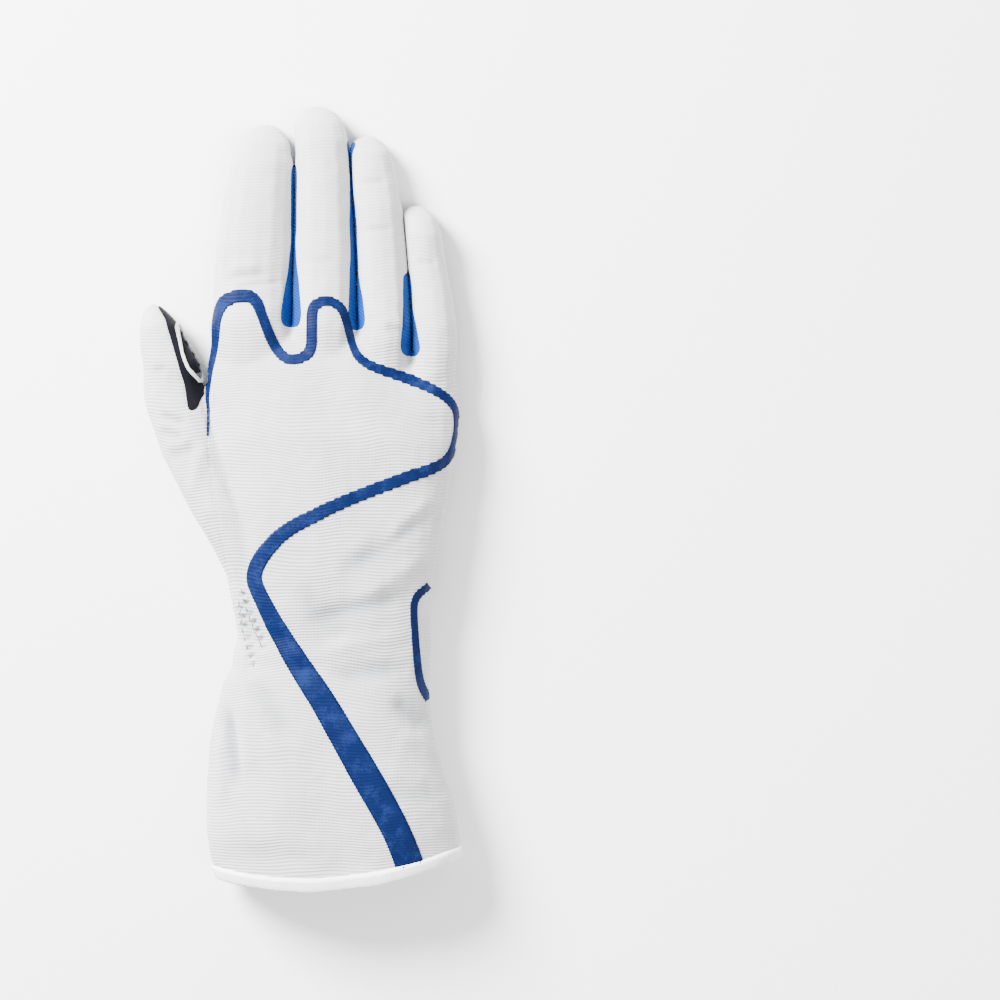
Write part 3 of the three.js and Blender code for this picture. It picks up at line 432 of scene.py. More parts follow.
def mottle_group():
    """Two sizes of soft cloud that mix two colours, and a fine grain."""
    name = "Mottle"
    if name in bpy.data.node_groups:
        return bpy.data.node_groups[name]
    vector, number, color = "NodeSocketVector", "NodeSocketFloat", "NodeSocketColor"
    group, entry, leave = new_group(
        name,
        (
            ("Vector", vector, None),
            ("Cloud mm", number, 8.0),
            ("Grain mm", number, 0.6),
            ("Share", number, 0.5),
            ("First", color, (0.5, 0.5, 0.5, 1)),
            ("Second", color, (0.4, 0.4, 0.4, 1)),
        ),
        (("Height", number), ("Color", color), ("Mask", number)),
    )
    links = group.links
    cloud = add_node(group, "ShaderNodeTexNoise", Detail=4.0, Roughness=0.6)
    grain = add_node(group, "ShaderNodeTexNoise", Detail=3.0, Roughness=0.65)
    for texture, size in ((cloud, "Cloud mm"), (grain, "Grain mm")):
        links.new(entry.outputs["Vector"], texture.inputs["Vector"])
        links.new(math_node(group, "DIVIDE", 1 / MM, entry.outputs[size]), texture.inputs["Scale"])
    both = math_node(group, "MULTIPLY_ADD", grain.outputs["Fac"], 0.6, cloud.outputs["Fac"])
    spread = math_node(group, "SUBTRACT", both, 0.8)
    steep = math_node(group, "MULTIPLY_ADD", spread, 3.0, entry.outputs["Share"], clamp=True)
    mix = add_node(group, "ShaderNodeMix", data_type="RGBA")
    links.new(steep, mix.inputs["Factor"])
    links.new(entry.outputs["First"], mix.inputs[6])
    links.new(entry.outputs["Second"], mix.inputs[7])
    links.new(grain.outputs["Fac"], leave.inputs["Height"])
    links.new(mix.outputs[2], leave.inputs["Color"])
    links.new(steep, leave.inputs["Mask"])
    return group


def new_material(name, roughness, **constants):
    """A material with its shader's plain values set on the sockets themselves."""
    material = bpy.data.materials.new(name)
    material.use_nodes = True
    tree = material.node_tree
    shader = tree.nodes["Principled BSDF"]
    shader.inputs["Roughness"].default_value = roughness
    for key, value in constants.items():
        shader.inputs[key.replace("_", " ")].default_value = value
    place = tree.nodes.new("ShaderNodeTexCoord").outputs["Object"]
    return material, tree, shader, place


def place_group(tree, group, place, **values):
    node = tree.nodes.new("ShaderNodeGroup")
    node.node_tree = group
    tree.links.new(place, node.inputs["Vector"])
    for key, value in values.items():
        node.inputs[key.replace("_", " ")].default_value = value
    return node


def bump(tree, shader, height, strength, depth_mm, under=None):
    node = add_node(tree, "ShaderNodeBump", Strength=strength, Distance=depth_mm * MM)
    tree.links.new(height, node.inputs["Height"])
    if under is not None:
        tree.links.new(under, node.inputs["Normal"])
    tree.links.new(node.outputs["Normal"], shader.inputs["Normal"])
    return node.outputs["Normal"]


def rgba(color):
    return (*color, 1.0)


# A colour scaled by a share: the second tone of a mottle, and the painted shade in the ribs' grooves.
def tone_and_shade(color, share):
    return tuple(channel * share for channel in color)


def white_cloth():
    name = "White ribbed cloth"
    if name in bpy.data.materials:
        return bpy.data.materials[name]
    looks = bpy.context.scene.glove_cloth
    material, tree, shader, place = new_material(
        name, 0.82, Sheen_Weight=0.12, Sheen_Roughness=0.5, Specular_IOR_Level=0.3
    )
    # The ribs' grooves are painted in a darker white: painted shade.
    ribs = place_group(
        tree,
        rib_group(),
        place,
        Pitch_mm=looks.rib_pitch / MM,
        Wobble=looks.rib_wobble,
        Light=rgba(looks.white),
        Dark=rgba(tone_and_shade(looks.white, 0.64)),
    )
    # Painted shade: the white is multiplied towards the crease shade in the folds' hollows, by each fold's
    # depth.
    crease = add_node(tree, "ShaderNodeAttribute", attribute_name="crease")
    painted_fold_shade = add_node(tree, "ShaderNodeMix", data_type="RGBA", blend_type="MULTIPLY")
    painted_fold_shade.inputs[7].default_value = rgba(looks.crease_shade)
    tree.links.new(crease.outputs["Fac"], painted_fold_shade.inputs["Factor"])
    tree.links.new(ribs.outputs["Color"], painted_fold_shade.inputs[6])
    tree.links.new(painted_fold_shade.outputs[2], shader.inputs["Base Color"])
    parts = tree.nodes.new("ShaderNodeSeparateXYZ")
    tree.links.new(place, parts.inputs["Vector"])
    fade = add_node(tree, "ShaderNodeMapRange", interpolation_type="SMOOTHSTEP")
    for socket, value in RIB_FADE.items():
        fade.inputs[socket].default_value = value
    tree.links.new(parts.outputs["Y"], fade.inputs["Value"])
    tree.links.new(fade.outputs["Result"], ribs.inputs["Strength"])
    bump(tree, shader, ribs.outputs["Height"], 0.75, 0.3)
    return material


def navy_suede():
    name = "Navy suede"
    if name in bpy.data.materials:
        return bpy.data.materials[name]
    looks = bpy.context.scene.glove_cloth
    material, tree, shader, place = new_material(
        name, 0.95, Sheen_Weight=0.04, Sheen_Roughness=0.45, Specular_IOR_Level=0.1
    )
    nap = place_group(
        tree,
        mottle_group(),
        place,
        Cloud_mm=7.0,
        Grain_mm=0.45,
        Share=0.5,
        First=rgba(looks.navy),
        Second=rgba(tone_and_shade(looks.navy, 1.7)),
    )
    tree.links.new(nap.outputs["Color"], shader.inputs["Base Color"])
    bump(tree, shader, nap.outputs["Height"], 0.6, 0.25)
    return material


def blue_knit():
    name = "Blue knit"
    if name in bpy.data.materials:
        return bpy.data.materials[name]
    looks = bpy.context.scene.glove_cloth
    material, tree, shader, place = new_material(
        name, 0.75, Sheen_Weight=0.03, Sheen_Roughness=0.4, Specular_IOR_Level=0.12
    )
    turned = add_node(tree, "ShaderNodeMapping", vector_type="POINT")
    turned.inputs["Rotation"].default_value = (0.0, 0.0, math.radians(35))
    tree.links.new(place, turned.inputs["Vector"])
    # The ribs' grooves are painted in a much darker blue: painted shade.
    ribs = place_group(
        tree,
        rib_group(),
        turned.outputs["Vector"],
        Pitch_mm=1.05,
        Thread_mm=0.9,
        Wobble=0.6,
        Light=rgba(looks.knit_blue),
        Dark=rgba(tone_and_shade(looks.knit_blue, 0.35)),
    )
    tree.links.new(ribs.outputs["Color"], shader.inputs["Base Color"])
    bump(tree, shader, ribs.outputs["Height"], 0.7, 0.3)
    return material


def blue_film():
    name = "Blue film"
    if name in bpy.data.materials:
        return bpy.data.materials[name]
    looks = bpy.context.scene.glove_trim
    material, tree, shader, place = new_material(
        name, 0.5, Coat_Weight=0.0, Specular_IOR_Level=0.08
    )
    # Random lighter, rougher patches in the film's colour.
    mottle_tones = place_group(
        tree,
        mottle_group(),
        place,
        Cloud_mm=6.0,
        Grain_mm=0.7,
        Share=0.06,
        First=rgba(looks.film_blue),
        Second=rgba(looks.film_mottle),
    )
    ribs = place_group(tree, rib_group(), place, Wobble=1.0)
    tree.links.new(mottle_tones.outputs["Color"], shader.inputs["Base Color"])
    rough = add_node(tree, "ShaderNodeMapRange")
    rough.inputs["To Min"].default_value = 0.55
    rough.inputs["To Max"].default_value = 0.8
    tree.links.new(mottle_tones.outputs["Mask"], rough.inputs["Value"])
    tree.links.new(rough.outputs["Result"], shader.inputs["Roughness"])
    bump(tree, shader, ribs.outputs["Height"], 0.35, 0.16)
    return material


def satin_tape():
    name = "Satin tape"
    if name in bpy.data.materials:
        return bpy.data.materials[name]
    looks = bpy.context.scene.glove_trim
    material, tree, shader, place = new_material(
        name, 0.5, Sheen_Weight=0.15, Sheen_Roughness=0.4, Specular_IOR_Level=0.5
    )
    band = add_node(tree, "ShaderNodeAttribute", attribute_name="tape_share")
    strip = add_node(tree, "ShaderNodeMapRange", interpolation_type="SMOOTHSTEP")
    strip.inputs["From Min"].default_value = 0.26
    strip.inputs["From Max"].default_value = 0.34
    tree.links.new(band.outputs["Fac"], strip.inputs["Value"])
    weave = place_group(
        tree,
        mottle_group(),
        place,
        Cloud_mm=6.0,
        Grain_mm=0.5,
        Share=0.5,
        First=rgba(looks.tape),
        Second=rgba(tone_and_shade(looks.tape, 0.9)),
    )
    mix = add_node(tree, "ShaderNodeMix", data_type="RGBA")
    mix.inputs[6].default_value = rgba(looks.tape_edge)
    tree.links.new(strip.outputs["Result"], mix.inputs["Factor"])
    tree.links.new(weave.outputs["Color"], mix.inputs[7])
    tree.links.new(mix.outputs[2], shader.inputs["Base Color"])
    bump(tree, shader, weave.outputs["Height"], 0.4, 0.15)
    return material


def silicone(name, color):
    if name in bpy.data.materials:
        return bpy.data.materials[name]
    material, tree, shader, place = new_material(
        name, 0.48, Subsurface_Weight=0.05, Specular_IOR_Level=0.5
    )
    dust = place_group(
        tree,
        mottle_group(),
        place,
        Cloud_mm=4.0,
        Grain_mm=0.5,
        Share=0.35,
        First=rgba(color),
        Second=rgba(tone_and_shade(color, 0.82)),
    )
    tree.links.new(dust.outputs["Color"], shader.inputs["Base Color"])
    bump(tree, shader, dust.outputs["Height"], 0.3, 0.1)
    return material


def thread(name, color):
    if name in bpy.data.materials:
        return bpy.data.materials[name]
    material, tree, shader, place = new_material(name, 0.6, Sheen_Weight=0.2, Specular_IOR_Level=0.4)
    twist = place_group(
        tree,
        mottle_group(),
        place,
        Cloud_mm=0.8,
        Grain_mm=0.25,
        Share=0.4,
        First=rgba(color),
        Second=rgba(tone_and_shade(color, 0.75)),
    )
    tree.links.new(twist.outputs["Color"], shader.inputs["Base Color"])
    bump(tree, shader, twist.outputs["Height"], 0.6, 0.15)
    return material


# The cloth: one soft surface over all the cloth nodes, cut along their seams


def slit_places(y):
    """The middle line of each slit at these heights, and how far it is being held open there."""
    wide = bpy.context.scene.glove_cloth.slit_hold
    for slit in SLITS:
        heights, across = (np.array(column) * MM for column in zip(*slit["line"]))
        rise = np.clip((y - slit["bottom"] * MM) / SLIT_RISE, 0, 1)
        yield np.interp(y, heights, across), wide * rise * rise * (3 - 2 * rise)


def hold_open(points):
    """Moves the digits apart, so that the cloth between them isn't welded."""
    shift = np.zeros(len(points))
    for middle, push in slit_places(points[:, 1]):
        shift += np.where(points[:, 0] > middle, push, -push)
    points[:, 0] += shift


def let_close(points):
    """Moves the digits back to where they were, none past the middle of a slit."""
    looks = bpy.context.scene.glove_cloth
    slits = list(slit_places(points[:, 1]))
    shift = np.zeros(len(points))
    sides = []
    for i, (middle, push) in enumerate(slits):
        before = sum(other for _, other in slits[:i])
        after = sum(other for _, other in slits[i + 1 :])
        sides.append(np.where(points[:, 0] > middle + before - after, 1.0, -1.0))
        shift += sides[-1] * push
    points[:, 0] -= shift
    least = looks.weld + looks.slit_gap
    for (middle, push), side in zip(slits, sides):
        past = (points[:, 0] - middle) * side - least
        apart = least + (past + np.sqrt(past * past + SLIT_ROUND**2)) / 2
        points[:, 0] = np.where(push > CLOSE_START * looks.slit_hold, middle + side * apart, points[:, 0])


def lean_together(points):
    """Low in the slits between the fingers, the walls lean together till they nearly meet."""
    looks = bpy.context.scene.glove_cloth
    low = np.clip((points[:, 2] - LEAN_FROM) / LEAN_RISE, 0, 1)
    low *= np.clip((looks.meet_height - points[:, 2]) / LEAN_FADE, 0, 1)
    for slit, (middle, push) in zip(SLITS, slit_places(points[:, 1])):
        if "top" not in slit:
            continue
        away = np.abs(points[:, 0] - middle)
        side = np.sign(points[:, 0] - middle)
        fade = np.clip((slit["top"] * MM - points[:, 1]) / LEAN_END, 0, 1)
        near = np.clip((looks.meet_reach - away) / (LEAN_EDGE * looks.meet_reach), 0, 1)
        share = low * fade * near * (push > SLIT_START * looks.slit_hold)
        meet = np.minimum(looks.slit_gap + LEAN_SLOPE * away - away, 0)
        points[:, 0] = middle + side * (away + share * meet)


def read_points(mesh):
    points = np.empty(len(mesh.vertices) * 3)
    mesh.vertices.foreach_get("co", points)
    return points.reshape(-1, 3)


def write_points(mesh, points):
    mesh.vertices.foreach_set("co", points.ravel())
    mesh.update()


def evaluated_mesh(mesh, add_modifiers):
    """The mesh after the modifiers that add_modifiers puts on it."""
    piece = bpy.data.objects.new("working", mesh)
    bpy.context.scene.collection.objects.link(piece)
    add_modifiers(piece)
    graph = bpy.context.evaluated_depsgraph_get()
    result = bpy.data.meshes.new_from_object(piece.evaluated_get(graph))
    bpy.data.objects.remove(piece)
    return result


def welded_nodes():
    """Copies of the cloth nodes, grown a little so that they meet at the seams, with the mouth filled."""
    looks = bpy.context.scene.glove_cloth
    whole = bmesh.new()
    for node in CLOTH_NODES:
        part = bmesh.new()
        part.from_mesh(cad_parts[node].data)
        bmesh.ops.remove_doubles(part, verts=part.verts, dist=SAME_PLACE)
        if node == "hem_binding":
            hull = bmesh.ops.convex_hull(part, input=part.verts, use_existing_faces=False)
            inside = [item for item in hull["geom_interior"] if isinstance(item, bmesh.types.BMVert)]
            bmesh.ops.delete(part, geom=inside, context="VERTS")
        part.normal_update()
        for vertex in part.verts:
            vertex.co += vertex.normal * looks.weld
        copy = bpy.data.meshes.new("copy")
        part.to_mesh(copy)
        part.free()
        whole.from_mesh(copy)
        bpy.data.meshes.remove(copy)
    mesh = bpy.data.meshes.new("welded")
    whole.to_mesh(mesh)
    whole.free()
    return mesh


def outer_shell(bm):
    """Deletes what isn't joined to the highest point: the inside of the glove."""
    bm.verts.ensure_lookup_table()
    start = max(bm.verts, key=lambda vertex: vertex.co.z)
    found = {start}
    front = [start]
    while front:
        vertex = front.pop()
        for edge in vertex.link_edges:
            other = edge.other_vert(vertex)
            if other not in found:
                found.add(other)
                front.append(other)
    bmesh.ops.delete(bm, geom=[v for v in bm.verts if v not in found], context="VERTS")


def node_owner():
    """A search tree over the cloth nodes, and the node that each of its faces belongs to."""
    points, faces, owners = [], [], []
    for index, node in enumerate(CLOTH_NODES):
        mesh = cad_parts[node].data
        start = len(points)
        points.extend(vertex.co.copy() for vertex in mesh.vertices)
        faces.extend([start + i for i in face.vertices] for face in mesh.polygons)
        owners.extend([index] * len(mesh.polygons))
    return BVHTree.FromPolygons(points, faces), owners


def soft_edge(face, other, owner):
    """Whether two faces belong to cloths that aren't sewn there: the hand and the cuff are one cloth."""
    whole = {CLOTH_NODES.index("hand_back"), CLOTH_NODES.index("cuff")}
    return face[owner] == other[owner] or {face[owner], other[owner]} == whole


def slit_owner(places, found):
    """The cloth low in the slits between the fingers is the blue one, and white again where it ends."""
    looks = bpy.context.scene.glove_cloth
    palm, white = CLOTH_NODES.index("palm"), CLOTH_NODES.index("hand_back")
    for i, (slit, (middle, push)) in enumerate(zip(SLITS, slit_places(places[:, 1]))):
        if "top" not in slit:
            continue
        blue = CLOTH_NODES.index("fourchette_index_middle") + i - 1
        away = np.abs(places[:, 0] - middle)
        near = (push > SLIT_START * looks.slit_hold) & (away < SLIT_REACH)
        above = places[:, 2] > BLUE_FROM
        level = above & (places[:, 2] < looks.meet_height - BLUE_UNDER)
        low = places[:, 1] < slit["blue_to"] * MM
        found[near & low & (level | ((found == palm) & above))] = blue
        over = near | (away < BLUE_REACH) & (found == blue)
        past = np.clip((places[:, 1] - slit["blue_to"] * MM) / BLUE_END, 0, 1)
        found[over & (past > 0) & (places[:, 2] > WHITE_FROM - BLUE_END * past)] = white


def most_common(values, otherwise):
    """The value that comes most often, or the lowest of those."""
    return max(set(values), key=lambda value: (values.count(value), -value)) if values else otherwise


def settle_owners(bm, owner):
    """Gives each small island of faces to the node round it."""
    for _ in range(3):
        changes = []
        for face in bm.faces:
            others = [other[owner] for edge in face.edges for other in edge.link_faces if other is not face]
            most = most_common(others, face[owner])
            if most != face[owner] and others.count(most) > 2:
                changes.append((face, most))
        for face, value in changes:
            face[owner] = value
    seen = set()
    islands = []
    for start in bm.faces:
        if start in seen:
            continue
        island, front, border = [start], [start], []
        seen.add(start)
        while front:
            face = front.pop()
            for edge in face.edges:
                for other in edge.link_faces:
                    if other[owner] != start[owner]:
                        border.append(other[owner])
                    elif other not in seen:
                        seen.add(other)
                        island.append(other)
                        front.append(other)
        islands.append((island, border))
    for island, border in islands:
        if len(island) < SMALL_ISLAND and border:
            value = most_common(border, None)
            for face in island:
                face[owner] = value


def palm_folds():
    """The creases of the wrist elastic on the palm side, and the two lines where it is sewn."""
    for i, x in enumerate(PALM_GATHERS):
        lean = 3 * math.sin(2.3 * i)
        top = PALM_GATHER_TOP + 6 * math.sin(1.7 * i)
        low = PALM_GATHER_LOW + 22 * math.sin(2.9 * i + 1)
        yield x, top, x + lean, low, 1.7, 0.8
    for y in PALM_ELASTIC:
        yield 244, y, 424, y - 3, 1.1, 0.6


def fold_depths(points, normals, folds, facing):
    """How far folds move each point in, in metres, where the cloth faces up or down."""
    depth = np.zeros(len(points))
    upward = np.clip((facing * normals[:, 2] - 0.1) / 0.3, 0, 1)
    for x0, y0, x1, y1, wide, deep, *pitch in folds:
        start = np.array(photo_place(x0, y0))
        run = np.array(photo_place(x1, y1)) - start
        along = np.clip((points[:, :2] - start) @ run / (run @ run), 0, 1)
        away = np.linalg.norm(points[:, :2] - start - along[:, None] * run, axis=1)
        ends = np.clip(np.minimum(along, 1 - along) * 4, 0, 1)
        if pitch:
            ends = ends * np.cos(2 * np.pi * along * np.linalg.norm(run) / (pitch[0] * MM))
        depth += deep * MM * np.exp(-((away / (wide * MM)) ** 2)) * ends * upward
    return depth


def soft_noise(points, size, seed):
    offset = Vector((seed * 7.3, seed * 3.1, seed * 5.7))
    return np.array([noise.noise(Vector(point) / size + offset) for point in points])


def smooth(bm, verts, rounds):
    axes = {"use_axis_x": True, "use_axis_y": True, "use_axis_z": True}
    for _ in range(rounds):
        bmesh.ops.smooth_vert(bm, verts=verts, factor=0.5, **axes)


def shape_cloth(bm):
    """Smooths the welded surface, takes the weld's growth off again and lays the folds in."""
    looks = bpy.context.scene.glove_cloth
    smooth(bm, bm.verts, looks.smooth_rounds)
    bm.normal_update()
    points = np.array([vertex.co for vertex in bm.verts])
    normals = np.array([vertex.normal for vertex in bm.verts])
    folds = fold_depths(points, normals, BACK_FOLDS, 1) + fold_depths(points, normals, palm_folds(), -1)
    depth = looks.fold_strength * folds + looks.weld
    upper = np.clip(normals[:, 2] + 0.6, 0, 1)
    for share, size, seed in DENTS:
        depth += share * looks.puff * soft_noise(points, size, seed) * upper
    points -= normals * depth[:, None]
    lean_together(points)
    # Each point keeps its fold's depth, for the painted shade in the fold's hollow.
    crease = bm.verts.layers.float.new("crease")
    for vertex, place, fold in zip(bm.verts, points, np.clip(folds / CREASE_DEPTH, 0, 1)):
        vertex.co = place
        vertex[crease] = fold


def seam_lines(bm):
    """Straightens the lines between the pieces and lets them sink a little, as sewn seams do."""
    looks = bpy.context.scene.glove_cloth
    owner = bm.faces.layers.int["owner"]
    edges = []
    for edge in bm.edges:
        faces = edge.link_faces
        if len(faces) < 2 or not soft_edge(faces[0], faces[1], owner):
            edges.append(edge)
    beside = {}
    for edge in edges:
        a, b = edge.verts
        beside.setdefault(a, []).append(b)
        beside.setdefault(b, []).append(a)
    line = [vertex for vertex, others in beside.items() if len(others) == 2]
    for _ in range(looks.seam_rounds):
        moved = {v: (v.co * 2 + beside[v][0].co + beside[v][1].co) / 4 for v in line}
        for vertex, place in moved.items():
            vertex.co = place
    edges_near = [edge for vertex in beside for edge in vertex.link_edges]
    near = dict.fromkeys(v for edge in edges_near for v in edge.verts if v not in beside)
    smooth(bm, list(near), SEAM_SMOOTHING)
    bm.normal_update()
    for vertex in line:
        if not vertex.is_boundary:
            vertex.co -= vertex.normal * looks.seam_sink
    bm.normal_update()
    soft = bm.verts.layers.float_vector.new("soft_normal")
    for vertex in bm.verts:
        vertex[soft] = vertex.normal


def cloth_form():
    """The glove's outer surface, kept as a mesh without an object once it is made."""
    name = "cloth_form"
    if name in bpy.data.meshes:
        return bpy.data.meshes[name]
    looks = bpy.context.scene.glove_cloth
    welded = welded_nodes()
    points = read_points(welded)
    hold_open(points)
    write_points(welded, points)

    def remesh(piece):
        modifier = piece.modifiers.new("Remesh", "REMESH")
        modifier.mode = "VOXEL"
        modifier.voxel_size = looks.voxel

    mesh = evaluated_mesh(welded, remesh)
    points = read_points(mesh)
    let_close(points)
    write_points(mesh, points)
    bm = bmesh.new()
    bm.from_mesh(mesh)
    outer_shell(bm)
    shape_cloth(bm)
    owner = bm.faces.layers.int.new("owner")
    tree, owners = node_owner()
    bm.normal_update()
    places = np.array([face.calc_center_median() for face in bm.faces])
    found = np.array([owners[tree.find_nearest(Vector(place))[2]] for place in places])
    slit_owner(places, found)
    for face, value in zip(bm.faces, found):
        face.smooth = True
        face[owner] = int(value)
    settle_owners(bm, owner)
    hem = CLOTH_NODES.index("hem_binding")
    cap = [face for face in bm.faces if face[owner] == hem and face.normal.y < HEM_CAP]
    bmesh.ops.delete(bm, geom=cap, context="FACES")
    seam_lines(bm)
    mesh.name = name
    bm.to_mesh(mesh)
    bm.free()
    return mesh


def form_tree():
    form = cloth_form()
    points = [vertex.co.copy() for vertex in form.vertices]
    return BVHTree.FromPolygons(points, [list(face.vertices) for face in form.polygons])


def form_part(node):
    """The faces of the cloth surface that stand for one node, as a bmesh."""
    bm = bmesh.new()
    bm.from_mesh(cloth_form())
    owner = bm.faces.layers.int["owner"]
    index = CLOTH_NODES.index(node)
    bmesh.ops.delete(bm, geom=[face for face in bm.faces if face[owner] != index], context="FACES")
    return bm


def tape_column(vertex):
    """The narrow column of the hem tape that a point is in, and whether it is on the upper side."""
    return round(vertex.co.x / TAPE_COLUMN), vertex.co.z > TAPE_MIDDLE


def finish_piece(name, bm, material, nodes=()):
    """Turns a bmesh into a finished piece that rides on the glove."""
    mesh = bpy.data.meshes.new(name)
    bm.to_mesh(mesh)
    bm.free()
    mesh.materials.append(material)
    mesh.shade_smooth()
    piece = bpy.data.objects.new(name, mesh)
    bpy.context.scene.collection.objects.link(piece)
    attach(piece, "root")
    if nodes:
        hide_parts(*nodes)
    return piece


def thicken(piece, thickness, offset=-1.0):
    modifier = piece.modifiers.new("Cloth thickness", "SOLIDIFY")
    modifier.thickness = thickness
    modifier.offset = offset


def keep_thin(bm, outer, thickness):
    """Takes back the inner side's corners that a sharp fold has thrown far from the cloth."""
    soft = bm.verts.layers.float_vector["soft_normal"]
    outer = list(outer)
    tree = KDTree(len(outer))
    for index, vertex in enumerate(outer):
        tree.insert(vertex.co, index)
    tree.balance()
    known = set(outer)
    for vertex in bm.verts:
        if vertex in known:
            continue
        place, index, away = tree.find(vertex.co)
        if away > THROWN_OUT * thickness:
            vertex.co = place - outer[index][soft] * thickness


def cloth_piece(name, node, material, thickness):
    """One cloth with its thickness. It shades as the whole surface does, also along its cut edges."""
    bm = form_part(node)
    outer = dict.fromkeys(bm.verts)
    bmesh.ops.solidify(bm, geom=bm.faces[:], thickness=thickness)
    keep_thin(bm, outer, thickness)
    sides = [len({vertex in outer for vertex in face.verts}) == 2 for face in bm.faces]
    soft = bm.verts.layers.float_vector["soft_normal"]
    normals = [vertex[soft] * (1 if vertex in outer else -1) for vertex in bm.verts]
    piece = finish_piece(name, bm, material, [node])
    mesh = piece.data
    corners = []
    for face, side in zip(mesh.polygons, sides):
        face.use_smooth = not side
        corners += [face.normal if side else normals[index] for index in face.vertices]
    mesh.normals_split_custom_set(corners)
    return piece


# Trim that lies on the cloth


def smooth_route(route, step):
    """Points a step apart on a curve through the route, with its widths."""
    rows = [Vector((*photo_place(x, y), width * MM)) for x, y, width in route]
    rows = [rows[0] * 2 - rows[1], *rows, rows[-1] * 2 - rows[-2]]
    fine = []
    for a, b, c, d in zip(rows, rows[1:], rows[2:], rows[3:]):
        for i in range(ROUTE_STEPS):
            t = i / ROUTE_STEPS
            bend = (-a + b * 3 - c * 3 + d) * t**3 + (a * 2 - b * 5 + c * 4 - d) * t**2
            fine.append((bend + (c - a) * t + b * 2) / 2)
    fine.append(rows[-2])
    lengths = np.concatenate([[0], np.cumsum([(q - p).xy.length for p, q in zip(fine, fine[1:])])])
    places = np.linspace(0, lengths[-1], int(lengths[-1] / step) + 1)
    columns = np.array(fine)
    return np.stack([np.interp(places, lengths, columns[:, i]) for i in range(3)], axis=1)


def stepped(y):
    """The film's edge keeps to the ribs, so it moves in small steps where it crosses them."""
    looks = bpy.context.scene.glove_trim
    pitch = bpy.context.scene.glove_cloth.rib_pitch
    return y + looks.edge_steps * (round(y / pitch) * pitch - y)


def film_ribbon(name, route, node, tree):
    """A band of film along a route, laid on the cloth."""
    looks = bpy.context.scene.glove_trim
    rows = smooth_route(route, FILM_STEP)
    bm = bmesh.new()
    grid = bmesh.ops.create_grid(bm, x_segments=len(rows) - 1, y_segments=FILM_COLUMNS, size=1.0)
    for vertex in grid["verts"]:
        u = (vertex.co.x + 1) / 2 * (len(rows) - 1)
        i = min(int(round(u)), len(rows) - 1)
        ahead = rows[min(i + 1, len(rows) - 1)] - rows[max(i - 1, 0)]
        heading = Vector((ahead[0], ahead[1])).normalized()
        side = Vector((-heading.y, heading.x)) * vertex.co.y * rows[i][2] / 2
        x, y = rows[i][0] + side.x, rows[i][1] + side.y
        if abs(vertex.co.y) > FILM_EDGE:
            y = stepped(y)
        hit, normal, _, _ = tree.ray_cast(Vector((x, y, HIGH_SIDE)), Vector((0, 0, -1)))
        if hit is None:
            hit, normal, _, _ = tree.find_nearest(Vector((x, y, MIDDLE_HEIGHT)))
        vertex.co = hit + normal * looks.film_stand
    bmesh.ops.recalc_face_normals(bm, faces=bm.faces)
    piece = finish_piece(name, bm, blue_film(), [node])
    thicken(piece, looks.film_thickness, 1.0)
    return piece


# Grips: a white rim with grey bars, from each node's own outline


def copied_node(node):
    bm = bmesh.new()
    bm.from_mesh(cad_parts[node].data)
    bmesh.ops.remove_doubles(bm, verts=bm.verts, dist=SAME_PLACE)
    return bm


def under_outline(node):
    """The outer edge of a grip's underside, in order, as places on the plan."""
    bm = copied_node(node)
    bm.normal_update()
    steps = {}
    for edge in bm.edges:
        if len(edge.link_faces) != 2:
            continue
        under = [face for face in edge.link_faces if face.normal.z < -GRIP_UNDER]
        side = [face for face in edge.link_faces if abs(face.normal.z) < GRIP_SIDE]
        if len(under) == 1 and len(side) == 1:
            a, b = edge.verts
            steps.setdefault(a, []).append(b)
            steps.setdefault(b, []).append(a)
    loops = []
    left = dict.fromkeys(steps)
    while left:
        start = next(iter(left))
        del left[start]
        loop = [start]
        while True:
            ahead = [v for v in steps[loop[-1]] if v in left]
            if not ahead:
                break
            loop.append(ahead[0])
            del left[ahead[0]]
        loops.append([vertex.co.xy.copy() for vertex in loop])
    bm.free()
    return max(loops, key=lambda loop: max(p.x for p in loop) - min(p.x for p in loop))


def thinned(places, step):
    """A closed outline without the places that are closer than a step to the one before."""
    kept = [places[0]]
    for place in places[1:]:
        if (place - kept[-1]).length > step and (place - kept[0]).length > step:
            kept.append(place)
    return kept


def inner_prism(outline, inset, low, high):
    """What lies more than the inset inside an outline, as a prism from low to high."""
    bm = bmesh.new()
    face = bm.faces.new([bm.verts.new((*place, low)) for place in outline])
    face.normal_update()
    if face.normal.z < 0:
        face.normal_flip()
    ring = bmesh.ops.inset_region(
        bm, faces=[face], thickness=inset, use_boundary=True, use_even_offset=True
    )["faces"]
    bmesh.ops.delete(bm, geom=ring, context="FACES")
    raised = bmesh.ops.extrude_face_region(bm, geom=bm.faces[:], use_keep_orig=True)["geom"]
    top = [item for item in raised if isinstance(item, bmesh.types.BMVert)]
    bmesh.ops.translate(bm, verts=top, vec=(0, 0, high - low))
    bmesh.ops.recalc_face_normals(bm, faces=bm.faces)
    return bm


def mesh_of(bm, name):
    mesh = bpy.data.meshes.new(name)
    bm.to_mesh(mesh)
    bm.free()
    return mesh


def cut_with(mesh, prism, operation):
    """The mesh after a boolean with a prism."""
    cutter = bpy.data.objects.new("cutter", prism)
    bpy.context.scene.collection.objects.link(cutter)

    def boolean(piece):
        modifier = piece.modifiers.new("Cut", "BOOLEAN")
        modifier.operation = operation
        modifier.solver = "EXACT"
        modifier.object = cutter

    result = evaluated_mesh(mesh, boolean)
    bpy.data.objects.remove(cutter)
    return result


def rounded(piece, width):
    modifier = piece.modifiers.new("Rounded edges", "BEVEL")
    modifier.width = width
    modifier.segments = 2
    modifier.limit_method = "ANGLE"
    modifier.angle_limit = SHARP_EDGE


